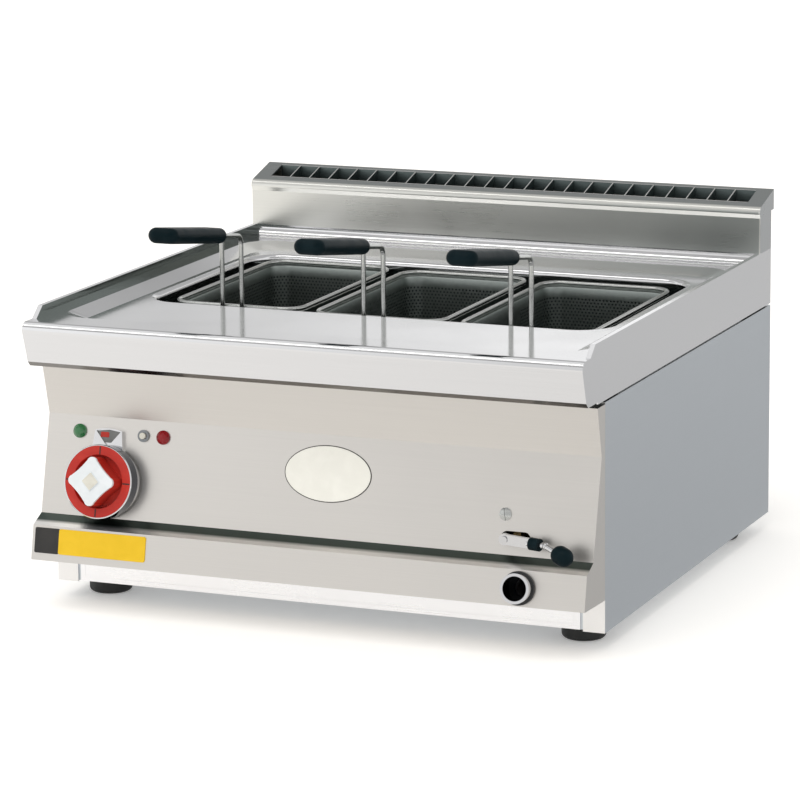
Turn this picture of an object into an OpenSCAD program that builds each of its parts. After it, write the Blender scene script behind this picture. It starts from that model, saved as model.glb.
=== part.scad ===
// Countertop pasta cooker: a stainless cabinet with a pressed worktop, a water tank with
// three lift-out baskets, a selector knob, two lamps, a reset button and a drain tap.
// Inside the modules x runs from the middle, y back from the front edge of the side panels
// and z up from their bottom edge. placed() moves that cabinet frame to the final one, whose
// origin is on the counter under the middle of the whole object.

/* [Cabinet] */
// Overall width
unit_w = 600; // [540:1:800]
// Depth of the side panels
body_d = 536; // [510:1:640]
// Height of the side panels
body_h = 232; // [225:1:260]
// Thickness of the cabinet sheet
sheet = 1.5; // [1:0.1:2]
// Width of the folded flanges of the side panels
flange_w = 13; // [10:1:13]
// Width of the front posts, the front flanges of the side panels
post_w = 23; // [18:1:30]
// Height of the plinth strip
plinth_h = 33; // [20:1:33]
// Gap between plinth strip and front post
plinth_gap = 3; // [1:0.5:5]
// Raised field of the plinth strip, in from its edge
plinth_border = 5; // [3:0.5:8]
// Gap between side panels and worktop skirt
seam = 2; // [1:0.5:4]

/* [Feet] */
// Height of the feet
foot_h = 18; // [12:1:40]
// Diameter of the feet
foot_d = 45; // [30:1:50]
// Foot centre in from the side of the cabinet
foot_in_x = 38; // [38:1:80]
// Front foot centre behind the front edge
foot_front = 45; // [40:1:90]
// Rear foot centre in front of the back edge
foot_back = 62; // [40:1:90]
// Rounding under the foot
foot_round = 5; // [2:0.5:8]
// Diameter of the foot's stud
stud_d = 9.6; // [6:0.2:12]
// Height of the stud above the base pan
stud_up = 12; // [9:1:20]

/* [Control panel] */
// Control panel top below the top of the side panels
panel_drop = 2; // [0.5:0.5:6]
// Top edge in front of the side panels
panel_top_out = 22; // [18:1:30]
// Crease in front of the side panels
crease_out = 10; // [6:1:14]
// Height of the crease
crease_z = 179.5; // [170:0.5:190]
// Foot of the sloped face in front of the side panels
slope_out = 33.5; // [30:0.5:38]
// Height of the foot of the sloped face
slope_z = 79.6; // [76:0.1:84]
// Front of the ledge
ledge_out = 52; // [48:0.5:54]
// Height of the ledge's front edge
ledge_z = 71; // [70:0.5:75]
// Bottom of the lip in front of the side panels
lip_out = 59; // [55:0.5:62]
// Height of the bottom of the lip
lip_z = 35.8; // [34:0.1:37]
// Height of the panel's bottom return at its back
return_z = 33.5; // [32.5:0.1:34.5]

/* [Worktop] */
// Thickness of the worktop sheet
top_sheet = 1.5; // [1:0.1:2]
// Deck above the bottom of the skirt
skirt_h = 49; // [44:1:60]
// Side rims above the deck
rim_h = 11.5; // [8:0.5:20]
// Width of the folded side rims
rim_w = 5; // [4:0.5:8]
// Length of the slanted front end of a rim
rim_slant = 14; // [6:1:24]
// Front of the deck, where the bullnose begins, in front of the side panels
deck_front = 42; // [38:1:46]
// Reach of the bullnose in front of the side panels
nose_out = 64.5; // [62:0.5:70]
// Radius of the bullnose
nose_r = 8; // [4:0.5:12]
// Lean of the bullnose face
nose_lean = 17.8; // [12:0.1:20]
// Drop from the deck to the bottom fold of the bullnose
nose_drop = 47; // [40:1:48]
// Bottom bevel of the bullnose
nose_bevel = 5; // [3:0.5:8]
// Inward return under the bullnose
nose_return = 18; // [8:1:24]
// Depth of the recessed field
recess_h = 6.5; // [3:0.5:9]
// Width of the slope round the recessed field
recess_run = 20; // [10:1:30]
// Top of that slope in from the sides
recess_side = 16; // [12:1:24]
// Top of that slope at the front, in front of the side panels
recess_front = 21; // [10:1:30]
// Top of that slope in front of the splashback
recess_back = 35; // [25:1:40]
// Corner radius of the recessed field
recess_r = 15; // [8:1:40]
// Tank opening in from the sides
open_side = 47; // [44:1:50]
// Front of the tank opening behind the side panels' front edge
open_front = 121; // [110:0.5:128]
// Rear of the tank opening in front of the splashback
open_back = 80; // [72:1:90]
// Corner radius of the tank opening
open_r = 36; // [24:1:44]
// Radius of the drawn edge round the opening
draw_r = 5; // [3:0.5:8]
// Straight part of the drawn edge
draw_h = 4; // [2:0.5:12]
// Radius of the cove at the foot of the splashback
cove_r = 10; // [6:0.5:11]
// Width of the top rails' flanges
rail_w = 10; // [6:0.5:10]

/* [Splashback and flue] */
// Depth of the splashback
flue_d = 39; // [36:1:60]
// Height of the plain front face of the splashback
splash_h = 38.5; // [20:0.5:80]
// Rolled nose in front of the plain face
roll_out = 2.5; // [1:0.5:5]
// Radius of the rolled nose
roll_r = 7.5; // [5:0.5:10]
// Centre of the rolled nose above the plain face
roll_up = 5.5; // [4:0.5:10]
// Slope of the flue top, rising to the back
flue_slope = 15.4; // [5:0.1:25]
// Rear channel behind the cabinet
channel_out = 9; // [4:0.5:15]
// Height of the rear channel's back face
channel_h = 22; // [15:0.5:30]
// Front strip of the flue top, along y from the roll's top
strip_front = 7.5; // [4:0.5:9]
// Rear strip of the flue top, along y
strip_back = 5; // [3:0.5:8]
// Plain end of the flue top, measured in from the side
flue_end = 18; // [10:1:40]
// Nominal pitch of the flue fins
fin_pitch = 23.5; // [16:0.5:40]
// Thickness of a fin
fin_t = 1.2; // [0.8:0.1:2]
// Height of a fin
fin_h = 12; // [6:0.5:16]
// Gap between a fin and the rails that hold it
fin_gap = 0.2; // [0.1:0.05:0.4]
// Depth of the baffle's front edge below its rear edge
baffle_fall = 21; // [8:1:24]
// Baffle's rear edge below the flue top
baffle_down = 15; // [13.5:0.5:20]

/* [Tank] */
// Gap between drawn edge and tank wall
tank_gap = 0.5; // [0.2:0.1:1]
// Thickness of the tank sheet
tank_sheet = 1.5; // [1:0.1:2]
// Height of the tank floor
tank_floor = 118; // [116:0.5:124]
// Corner radius of the tank
tank_r = 38; // [28:1:40]
// Radius between tank wall and floor
tank_floor_r = 8; // [4:0.5:10]
// Width of the tank's top flange
tank_flange = 12; // [6:1:16]
// Height of the false bottom over the tank floor
grate_up = 18.5; // [17:0.5:24]
// Gap between false bottom and tank wall
grate_gap = 5; // [3:0.5:10]
// Diameter of the false bottom's holes
grate_hole = 16; // [8:1:20]
// Holes of the false bottom across
grate_nx = 10; // [6:1:14]
// Holes of the false bottom front to back
grate_ny = 6; // [4:1:8]
// Diameter of the false bottom's legs
grate_leg = 12; // [8:1:14]

/* [Heating] */
// Diameter of the element tube
element_d = 8; // [6:0.5:10]
// Number of element hairpins
element_n = 3; // [1:1:3]
// Distance between the legs of one hairpin
hairpin_w = 40; // [30:1:44]
// Distance from one hairpin to the next
hairpin_pitch = 80; // [70:1:84]
// Free end of the hairpins in from the tank's right wall
hairpin_end = 60; // [40:1:120]
// Height of the element's centre over the tank floor
element_up = 10; // [7:0.5:12]
// Width of the element's flange plate
element_plate_h = 26; // [18:1:28]
// Thickness of the element's flange plate
element_plate_t = 4; // [2:0.5:6]
// Terminal length outside the plate
terminal_l = 18; // [10:1:24]

/* [Baskets] */
// Number of baskets
basket_n = 3; // [3:1:3]
// Outer baskets in from the sides of the tank opening
basket_side = 14.5; // [8:0.5:20]
// Gap between the rim wires of two baskets
basket_gap = 16.5; // [10:0.5:24]
// Front of the rim wire behind the tank opening's front
basket_in = 6; // [6:0.5:10]
// Rear of the rim wire in front of the tank opening's rear
basket_end = 26; // [24:0.5:34]
// How far each loose basket is pushed back, from left to right
basket_set = [23, 12, 4]; // [0:1:24]
// Top of the rim wire below the recessed field
rim_down = 4.5; // [2:0.5:20]
// Thickness of the basket sheet
basket_sheet = 1; // [0.8:0.1:1.5]
// Corner radius of the basket body
basket_r = 18; // [12:1:30]
// Radius between basket wall and bottom
basket_floor_r = 10; // [4:1:14]
// Diameter of the rim wire
wire_d = 5; // [4:0.5:7]
// Diameter of the handle rods
rod_d = 5; // [4:0.5:6]
// Distance between the handle rods
rod_gap = 22; // [18:0.5:26]
// Handle rods below the rim
rod_down = 42; // [20:1:80]
// Rise from the rim to the centre of the handle's bend
handle_rise = 65; // [40:1:90]
// Centre line radius of the handle's bend
bend_r = 10; // [8:1:20]
// Upward tilt of the grip
grip_tilt = 9; // [0:1:20]
// Bare rod between bend and grip
grip_start = 30; // [8:1:34]
// Length of the grip
grip_l = 133; // [110:1:150]
// Width of the grip
grip_w = 33; // [31:1:44]
// Thickness of the grip
grip_t = 16; // [12:0.5:20]
// Corner radius of the grip's core in plan
grip_corner = 3; // [1:0.5:8]
// Rods' length inside the grip
rod_in = 80; // [40:1:100]
// Clearance of the rods in the grip
grip_fit = 0.1; // [0.05:0.05:0.2]
// Clearance under a basket at rest
rest_gap = 0.2; // [0.1:0.1:0.5]

/* [Knob] */
// Knob axis in from the left side
knob_side = 71; // [66:1:90]
// Knob axis down the slope from the crease
knob_down = 66; // [62:1:66]
// Diameter of the bezel
bezel_d = 72; // [66:1:73]
// Thickness of the bezel
bezel_t = 5; // [3:0.5:8]
// Index tab's top from the knob axis
tab_reach = 54.5; // [48:0.5:56]
// Width of the index tab at its top
tab_w = 30; // [16:1:34]
// Width of the index tab at its foot
tab_foot_w = 38; // [34:1:44]
// Height of the index tab
tab_t = 4.5; // [3:0.5:5]
// Depth of the index tab's field
tab_depth = 2; // [1:0.5:2.5]
// Width of the field at its lower end
tab_field_w = 4; // [2:0.5:8]
// Border of the index tab's field
tab_border = 1; // [0.6:0.1:2]
// Diameter of the dial
dial_d = 75.5; // [70:0.5:76]
// Height of the dial's face over the panel
dial_z = 20.5; // [18:0.5:30]
// Width of the handle's face ring
face_ring = 9; // [6:0.5:10]
// Depth of the recess inside the face ring
dial_recess = 8; // [4:0.5:10]
// Thickness of the dial's walls
dial_wall = 2; // [1.5:0.1:3]
// Thickness of the dial's bright rim
rim_t = 1.1; // [0.8:0.1:2]
// Gap between bezel and dial
dial_gap = 0.4; // [0.3:0.1:1]
// Height of the handle's top over the panel
handle_z = 37; // [34:0.5:50]
// Tip radius of the four-lobed handle
lobe_r = 25; // [20:0.5:26]
// Radius of the round lobes
lobe_tip = 5.5; // [4:0.5:7]
// Waist radius of the four-lobed handle
waist_r = 18.2; // [15:0.1:18.6]
// Thickness of the handle's cap
cap_t = 3; // [2:0.5:4]
// Size of the square pad on the cap
pad_w = 14; // [8:0.5:16]
// Height of the square pad
pad_t = 1; // [0.5:0.1:2]
// Diameter of the selector shaft
shaft_d = 6; // [4:0.5:8]
// Running clearance of the shaft
shaft_fit = 0.05; // [0.02:0.01:0.1]
// Side of the selector switch
switch_w = 42; // [30:1:44]
// Depth of the selector switch
switch_h = 36; // [25:1:38]
// Diameter of the switch's bush
bush_d = 11; // [10:0.5:14]

/* [Lamps and reset] */
// Lamps and reset button down the slope from the crease
lamp_down = 16.3; // [13:0.1:20]
// Green lamp in from the left side
green_side = 37; // [25:1:42]
// Reset button in from the left side
reset_side = 109; // [106:1:115]
// Red lamp in from the left side
red_side = 131; // [128:1:140]
// Diameter of a lamp's lens
lens_d = 14.5; // [10:0.5:16]
// Height of a lamp's lens
lens_h = 5; // [3:0.5:8]
// Diameter of a lamp's holder
holder_d = 11.6; // [8:0.2:12]
// Length of a lamp's holder behind the panel
holder_l = 26; // [15:1:34]
// Diameter of the reset button's ring
reset_ring = 12.4; // [11:0.2:14]
// Height of the reset button's ring
reset_ring_h = 2; // [1.5:0.5:6]
// Diameter of the reset button
reset_d = 6.4; // [4:0.2:7]
// Running clearance of the reset button
reset_fit = 0.08; // [0.05:0.01:0.1]
// Reset button in front of its ring
reset_out = 2.4; // [2.2:0.1:4]
// Travel of the reset button
reset_travel = 2; // [1:0.1:2]
// Width of the safety thermostat
thermostat_w = 24; // [18:1:26]
// Depth of the safety thermostat
thermostat_h = 30; // [20:1:34]

/* [Drain] */
// Drain and tap axis in from the right side
tap_side = 91; // [86:1:110]
// Drain pipe's axis over the tank floor
drain_up = 19.5; // [19:0.5:24]
// Tap axis below the drain pipe's axis
tap_fall = 41.5; // [40:0.5:46]
// Tap axis behind the side panels' front edge
tap_y = 6; // [2:0.5:10]
// Outer diameter of the drain pipe
pipe_d = 22; // [18:0.5:22]
// Bore of the drain pipe
pipe_bore = 18; // [12:0.5:18]
// Diameter of the drain pipe's collar
collar_d = 30; // [26:0.5:32]
// Thickness of that collar
collar_t = 4; // [2:0.5:8]
// Diameter of the ball valve body
valve_d = 34; // [30:0.5:36]
// Length of the ball valve
valve_l = 50; // [44:1:54]
// Across flats of the valve's ends
valve_hex = 28; // [26:1:30]
// Diameter of the ball
ball_d = 27; // [24:0.5:28]
// Clearance round the ball
ball_gap = 0.3; // [0.2:0.05:0.4]
// Diameter of the tap's stem
stem_d = 10; // [6:0.5:12]
// Running clearance of the stem
stem_fit = 0.05; // [0.02:0.01:0.1]
// Diameter of the stem's gland
gland_d = 18; // [14:0.5:20]
// Stem's end in front of the tap axis
stem_out = 46; // [44:0.5:50]
// Length of the stem's thin end
neck_l = 6; // [5:0.5:8]
// Diameter of the stem's thin end
neck_d = 7; // [4:0.5:8]
// Clearance of the thin end in the lever
neck_fit = 0.1; // [0.05:0.05:0.2]
// Width of the panel's slot for the stem
stem_hole = 13; // [12:0.5:18]
// Length of that slot between its round ends
stem_slot = 18; // [8:1:24]
// Width of the lever bar
lever_w = 10; // [8:0.5:14]
// Diameter of the lever's hub
lever_hub = 11.5; // [11:0.5:16]
// Thickness of the lever bar
lever_t = 4; // [3:0.5:5]
// End of the lever bar to the right of the tap axis
lever_run = 30; // [24:1:36]
// End of the lever bar in front of its root
lever_rise = 8; // [4:1:12]
// Lever knob's middle to the right of the tap axis
lever_reach = 68; // [62:1:75]
// Lever knob's middle in front of the lever's root
lever_out = 23; // [16:1:30]
// Lever knob's middle below the tap axis
lever_drop = 6; // [0:0.5:8]
// Diameter of the lever's rod
lever_rod = 6; // [5:0.5:8]
// Diameter of the bead at the rod's bend
lever_bead = 7; // [6.5:0.5:10]
// Diameter of the lever's knob
knob_ball = 19; // [16:0.5:22]
// Straight part of the lever's knob
knob_long = 5; // [2:0.5:8]
// Diameter of the lever's sleeve
sleeve_d = 12.5; // [10:0.5:16]
// Length of the lever's sleeve
sleeve_l = 18; // [12:0.5:20]
// Drain outlet in from the right side
outlet_side = 69; // [60:1:80]
// Drain outlet's centre down the lip from its top
outlet_down = 18; // [17.5:0.1:18.5]
// Bore of the outlet
outlet_bore = 24; // [18:0.5:24]
// Diameter of the outlet's neck in the panel
outlet_neck = 28; // [26:0.5:28]
// Diameter of the outlet's ring
outlet_ring = 30; // [29:0.5:32]
// Outlet's end in front of the lip
outlet_out = 13; // [8:0.5:20]
// Outlet's back end behind the lip's face
outlet_in = 14; // [8:0.5:14]
// Back wall of the outlet
outlet_back = 2; // [1:0.5:4]
// Diameter of the outlet's black flange
gasket_d = 33.5; // [32:0.5:35]
// Thickness of the black flange
gasket_t = 3; // [1:0.5:5]
// Clearance of the outlet's neck in its holes
outlet_fit = 0.3; // [0.2:0.05:0.5]

/* [Rear] */
// Cable gland in from the right side
gland_side = 90; // [70:1:150]
// Height of the cable gland
gland_z = 60; // [40:1:90]
// Bore of the cable gland
cable_bore = 13; // [8:0.5:16]
// Diameter of the gland's thread
cable_thread = 20; // [18:0.5:25]
// Across flats of the gland's nuts
cable_hex = 26; // [24:1:30]
// Length of the gland's outer part
cable_out = 8; // [6:0.5:8.5]
// Length of the gland's inner part
cable_in = 14; // [10:1:30]
// Clearance of the gland in the rear panel
cable_fit = 0.3; // [0.1:0.1:0.5]
// Number of vent slots in the rear panel
vent_n = 8; // [4:1:12]
// Length of a vent slot
vent_l = 40; // [20:1:45]
// Width of a vent slot
vent_w = 5; // [3:0.5:8]
// Distance between vent slots
vent_pitch = 52; // [48:1:60]
// Height of the rear vent slots
vent_z = 180; // [150:1:200]
// Width of the terminal block
block_w = 60; // [40:1:80]
// Height of the terminal block
block_h = 28; // [20:1:40]
// Depth of the terminal block
block_d = 30; // [20:1:40]

/* [Hidden] */
$fn = 64;
// Small overlap that makes cuts run through
eps = 0.1;
// Steps in a drawn arc of an outline
arc_n = 10;

half_w = unit_w / 2;
inner_w = half_w - sheet;
deck_z = body_h + seam + skirt_h;
skirt_z = body_h + seam;
rim_z = deck_z + rim_h;
field_z = deck_z - recess_h;
splash_y = body_d - flue_d;
channel_y = body_d + channel_out;
nose_bottom = deck_z - nose_drop;
panel_top = body_h - panel_drop;
panel_tilt = atan((slope_out - crease_out) / (crease_z - slope_z));
lip_tilt = atan((lip_out - ledge_out) / (ledge_z - lip_z));

knob_left = half_w - knob_side;
green_left = half_w - green_side;
reset_left = half_w - reset_side;
red_left = half_w - red_side;
tap_right = half_w - tap_side;
outlet_right = half_w - outlet_side;
gland_right = half_w - gland_side;

open_w = unit_w - 2 * open_side;
open_d = splash_y - open_back - open_front;
open_y = open_front + open_d / 2;
draw_bottom = field_z - draw_r - draw_h;
// Lap of the drawn edge over the field's sheet, and of a rim's slanting end over the nose
draw_lap = draw_r;
rim_lap = top_sheet * 2 / 3;
tank_in = draw_r + tank_gap;
tank_w = open_w + 2 * tank_in;
tank_d = open_d + 2 * tank_in;
tank_front = open_y - tank_d / 2;
grate_z = tank_floor + grate_up;

basket_w = (open_w - 2 * basket_side - (basket_n - 1) * basket_gap) / basket_n;
basket_pitch = basket_w + basket_gap;
basket_l = open_d - basket_in - basket_end;
rim_wire_z = field_z - rim_down - wire_d / 2;
basket_y = open_front + basket_in + basket_l / 2;
wire_out = wire_d / 2 + basket_sheet;
wall_w = basket_w - wire_d - 2 * wire_out;
wall_l = basket_l - wire_d - 2 * wire_out;
rod_y = open_front + basket_in - rod_d / 2;
bend_z = rim_wire_z + wire_d / 2 + handle_rise;
bend_turn = 90 - grip_tilt;

pipe_z = tank_floor + drain_up;
tap_z = pipe_z - tap_fall;
valve_top = tap_z + valve_l / 2;
valve_bottom = tap_z - valve_l / 2;

// Lever's points from the tap axis: root, end of the bar, bend behind the knob, knob
lever_seat = stem_out - neck_l;
lever_root = [0, -lever_seat - lever_t / 2, 0];
lever_mid = lever_root + [lever_run, -lever_rise, 0];
lever_bend = lever_mid + sleeve_l * unit([lever_run, -lever_rise, 0]);
lever_knob = lever_root + [lever_reach, -lever_out, -lever_drop];
knob_half = knob_long / 2 * unit(lever_knob - lever_bend);
lever_front = knob_ball / 2 - tap_y - (lever_knob + knob_half).y;
front_y = (max(lever_front, nose_out) - channel_y) / 2;

roll_y = splash_y - roll_out + roll_r;
roll_z = rim_z + splash_h + roll_up;
roll_top = [roll_y - roll_r * sin(flue_slope), roll_z + roll_r * cos(flue_slope)];
function flue_z(y) = roll_top.y + (y - roll_top.x) * tan(flue_slope);
slot_y0 = roll_top.x + strip_front;
slot_y1 = channel_y - strip_back;
slot_w = unit_w - 2 * flue_end;
fin_n = round(slot_w / fin_pitch) - 1;
fin_step = slot_w / (fin_n + 1);

// Moves the cabinet frame to the final frame
module placed() {
    translate([0, front_y, foot_h]) children();
}

// Outline tools: lists of points, an open path and the same path moved sideways
function unit(v) = v / norm(v);
function left_of(a, b) = let (d = unit(b - a)) [-d.y, d.x];
function corner_move(a, b) = (a + b) / (1 + a * b);
function moved(p, t) = [for (i = [0 : len(p) - 1])
    p[i] + t * (i == 0 ? left_of(p[0], p[1])
        : i == len(p) - 1 ? left_of(p[i - 1], p[i])
        : corner_move(left_of(p[i - 1], p[i]), left_of(p[i], p[i + 1])))];
function reversed(p) = [for (i = [len(p) - 1 : -1 : 0]) p[i]];
function arc(c, r, a0, a1) = [for (i = [0 : arc_n])
    let (a = a0 + (a1 - a0) * i / arc_n) c + r * [cos(a), sin(a)]];

// Folded sheet seen along its folds: a path with a thickness on its left side
module fold(p, t) {
    polygon(concat(p, reversed(moved(p, t))));
}

// Extrudes a (y, z) outline along x
module along_x(x0, x1) {
    translate([x0, 0, 0]) rotate([90, 0, 90]) linear_extrude(x1 - x0) children();
}

// Extrudes an (x, z) outline along y
module along_y(y0, y1) {
    translate([0, y1, 0]) rotate([90, 0, 0]) linear_extrude(y1 - y0) children();
}

// Both ends of something that is the same at the left and right
module both_sides() {
    children();
    mirror([1, 0, 0]) children();
}

// Flat rectangle with round corners
module round_rect(w, d, r) {
    square([w - 2 * r, d], center = true);
    square([w, d - 2 * r], center = true);
    for (x = [-1, 1], y = [-1, 1])
        translate([x * (w / 2 - r), y * (d / 2 - r)]) circle(r);
}

// Carries a profile round a rectangle with round corners. The profile's x is the distance
// outwards from the rectangle's edge, and its y is the height.
module around(w, d, r) {
    for (k = [0 : 3]) {
        out = k % 2 == 0 ? w / 2 : d / 2;
        half = (k % 2 == 0 ? d / 2 : w / 2) - r;
        rotate(90 * k) {
            translate([out, half, 0]) rotate([90, 0, 0]) linear_extrude(2 * half) children();
            translate([out - r, half, 0]) rotate_extrude(angle = 90) translate([r, 0]) children();
        }
    }
}

// Quarter of a ring in one quadrant, for round folds: quadrant signs sx and sy
module quarter_ring(r_out, t, sx, sy) {
    intersection() {
        difference() {
            circle(r_out);
            circle(r_out - t);
        }
        translate([sx < 0 ? -r_out : 0, sy < 0 ? -r_out : 0]) square(r_out);
    }
}

// Round bar from one point to another
module bar(a, b, d) {
    v = b - a;
    translate(a) rotate([0, acos(v.z / norm(v)), atan2(v.y, v.x)]) cylinder(h = norm(v), d = d);
}

// Bars along a list of points with round joints between them
module pipe_run(p, d) {
    for (i = [0 : len(p) - 2]) bar(p[i], p[i + 1], d);
    for (i = [1 : 1 : len(p) - 2]) translate(p[i]) sphere(d = d);
}

// Puts things on the sloped face: z outwards, y up the slope, at a distance down from the crease
module on_slope(x, down) {
    translate([x, -crease_out, crease_z]) rotate([90 - panel_tilt, 0, 0])
        translate([0, -down, 0]) children();
}

// Puts things on the lip below the ledge in the same way
module on_lip(x, down) {
    translate([x, -ledge_out, ledge_z]) rotate([90 - lip_tilt, 0, 0])
        translate([0, -down, 0]) children();
}

// Puts things on the tap axis: z to the front
module on_tap() {
    translate([tap_right, tap_y, tap_z]) rotate([90, 0, 0]) children();
}

// Cabinet

module base_pan() {
    color("silver") placed() difference() {
        union() {
            translate([-inner_w, sheet, sheet])
                cube([2 * inner_w, body_d - 2 * sheet, sheet]);
            translate([-half_w + post_w, sheet, sheet])
                cube([unit_w - 2 * post_w, sheet, plinth_h - 2 * sheet]);
        }
        foot_places() cylinder(d = stud_d + 2 * outlet_fit, h = 3 * sheet);
        for (i = [0 : vent_n - 1])
            translate([(i - (vent_n - 1) / 2) * vent_pitch, body_d / 2, 0])
                cube([vent_w, vent_l, 8 * sheet], center = true);
    }
}

// Right side panel with its front post and its folded flanges
module side_shape() {
    difference() {
        translate([half_w - post_w, 0, 0]) cube([post_w, body_d, body_h]);
        translate([half_w - post_w - eps, sheet, sheet])
            cube([post_w - sheet + eps, body_d - 2 * sheet, body_h - 2 * sheet]);
        translate([half_w - post_w - eps, sheet, -eps])
            cube([post_w - sheet - flange_w + eps, body_d, body_h + 2 * eps]);
    }
}

module left_side_panel() {
    color("silver") placed() mirror([1, 0, 0]) side_shape();
}

module right_side_panel() {
    color("silver") placed() side_shape();
}

module rear_panel() {
    color("silver") placed() difference() {
        translate([-inner_w, body_d - 2 * sheet, 2 * sheet])
            cube([2 * inner_w, sheet, body_h - 3 * sheet]);
        translate([gland_right, body_d, gland_z]) rotate([90, 0, 0])
            cylinder(d = cable_thread + 2 * cable_fit, h = 4 * sheet);
        for (i = [0 : vent_n - 1])
            translate([(i - (vent_n - 1) / 2) * vent_pitch, body_d, vent_z])
                cube([vent_w, 6 * sheet, vent_l], center = true);
    }
}

module plinth_strip() {
    w = unit_w - 2 * (post_w + plinth_gap);
    color("white") placed() difference() {
        translate([-w / 2, 0, sheet]) cube([w, sheet, plinth_h - sheet]);
        difference() {
            translate([-w / 2 + plinth_border, -eps, sheet + plinth_border])
                cube([w - 2 * plinth_border, sheet / 4 + eps, plinth_h - sheet - 2 * plinth_border]);
            translate([-w / 2 + plinth_border + sheet, -eps, 2 * sheet + plinth_border])
                cube([w - 2 * (plinth_border + sheet), sheet,
                    plinth_h - 3 * sheet - 2 * plinth_border]);
        }
    }
}

// Outside of the control panel from its top fold to its bottom return
panel_path = [[-sheet, panel_top], [-panel_top_out, panel_top], [-crease_out, crease_z],
    [-slope_out, slope_z], [-ledge_out, ledge_z], [-lip_out, lip_z], [-eps, return_z]];

module control_panel() {
    color("gainsboro") placed() difference() {
        union() {
            along_x(-half_w, half_w) fold(panel_path, sheet);
            both_sides() along_x(inner_w, half_w) polygon(concat(panel_path, [[-eps, panel_top]]));
        }
        on_slope(-knob_left, knob_down) translate([0, 0, -10])
            cylinder(d = bush_d + 2 * cable_fit, h = 20);
        for (left = [green_left, red_left])
            on_slope(-left, lamp_down) translate([0, 0, -10])
                cylinder(d = holder_d + 2 * cable_fit, h = 20);
        on_slope(-reset_left, lamp_down) translate([0, 0, -10])
            cylinder(d = bush_d - 1 + 2 * cable_fit, h = 20);
        on_tap() {
            for (x = [0, stem_slot]) translate([x, 0, 0]) cylinder(d = stem_hole, h = 2 * slope_out);
            translate([0, -stem_hole / 2, 0]) cube([stem_slot, stem_hole, 2 * slope_out]);
        }
        on_lip(outlet_right, outlet_down) translate([0, 0, -10])
            cylinder(d = outlet_neck + 2 * outlet_fit, h = 20);
    }
}

// Rail that carries one side of the worktop on the side panel's top flange
module rail_shape() {
    x1 = inner_w - sheet;
    along_y(foot_front, splash_y - cove_r - foot_front)
        fold([[x1 - rail_w, body_h], [x1, body_h], [x1, deck_z - top_sheet],
            [x1 - rail_w, deck_z - top_sheet]], sheet);
}

module left_top_rail() {
    color("silver") placed() mirror([1, 0, 0]) rail_shape();
}

module right_top_rail() {
    color("silver") placed() rail_shape();
}

// Angle that closes the front between control panel and worktop and carries the deck
module front_top_rail() {
    z1 = field_z - top_sheet;
    w = inner_w - sheet;
    color("silver") placed() along_x(-w, w)
        fold([[foot_front / 2, z1], [-sheet, z1], [-sheet, panel_top]], sheet);
}

// Feet

module foot_places() {
    for (x = [-1, 1], y = [foot_front, body_d - foot_back])
        translate([x * (half_w - foot_in_x), y, 0]) children();
}

module foot(x, y) {
    r = foot_d / 2;
    color("black") placed() translate([x * (half_w - foot_in_x), y, 0]) {
        rotate_extrude() polygon(concat([[0, -foot_h]],
            arc([r - foot_round, foot_round - foot_h], foot_round, -90, 0),
            [[r, 0], [r - sheet, sheet], [0, sheet]]));
        translate([0, 0, sheet]) cylinder(d = stud_d, h = stud_up);
    }
}

module foot_nuts() {
    nut_d = 2 * stud_d;
    color("silver") placed() foot_places() translate([0, 0, 2 * sheet]) difference() {
        cylinder(d = nut_d, h = stud_up - 3 * sheet, $fn = 6);
        translate([0, 0, -eps]) cylinder(d = stud_d + 2 * outlet_fit, h = stud_up);
    }
}

// Worktop

// Bullnose outline from the deck round the nose to the return underneath
nose_c = [-nose_out + nose_r, deck_z - nose_r];
nose_end = nose_c + nose_r * [-cos(nose_lean), -sin(nose_lean)];
nose_fold = nose_end + (nose_end.y - nose_bottom - nose_bevel) * [tan(nose_lean), -1];
nose_path = concat([[-deck_front, deck_z]], arc(nose_c, nose_r, 90, 180 + nose_lean),
    [nose_fold, nose_fold + [nose_bevel, -nose_bevel],
        nose_fold + [nose_bevel + nose_return, -nose_bevel]]);
// Right rim and skirt outline in x and z
rim_path = [[half_w - recess_side, deck_z], [half_w - rim_w, deck_z], [half_w - rim_w, rim_z],
    [half_w, rim_z], [half_w, skirt_z]];
// Rear outline: cove, ledge under the splashback, rear skirt
rear_path = concat([[splash_y - recess_back, deck_z]],
    arc([splash_y - cove_r, deck_z + cove_r], cove_r, -90, 0),
    [[splash_y, rim_z], [body_d, rim_z], [body_d, skirt_z]]);

// Solid with sloping sides and round corners, wider at the top, under the recessed field's deck
module recess_shape(grow, z0, z1) {
    w = unit_w - 2 * (recess_side + recess_run) + 2 * grow;
    y0 = -recess_front + recess_run - grow;
    y1 = splash_y - recess_back - recess_run + grow;
    r0 = recess_r + grow;
    h = z1 - z0;
    run = recess_run * h / recess_h;
    slope = [[0, z0], [0, z1], [run, z1]];
    translate([0, (y0 + y1) / 2, 0]) {
        translate([0, 0, z0]) linear_extrude(h) round_rect(w, y1 - y0, r0);
        for (k = [0 : 3]) {
            out = k % 2 == 0 ? w / 2 : (y1 - y0) / 2;
            half = (k % 2 == 0 ? (y1 - y0) / 2 : w / 2) - r0;
            rotate(90 * k) {
                translate([out, half, 0]) rotate([90, 0, 0]) linear_extrude(2 * half) polygon(slope);
                translate([out - r0, half, z0]) cylinder(r1 = r0, r2 = r0 + run, h = h);
            }
        }
    }
}

module drawn_edge() {
    translate([0, open_y, 0]) around(open_w, open_d, open_r) {
        translate([draw_r, field_z - draw_r]) quarter_ring(draw_r, top_sheet, -1, 1);
        translate([draw_r, field_z - top_sheet]) square([draw_lap, top_sheet]);
        translate([0, draw_bottom]) square([top_sheet, draw_h + eps]);
    }
}

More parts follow.
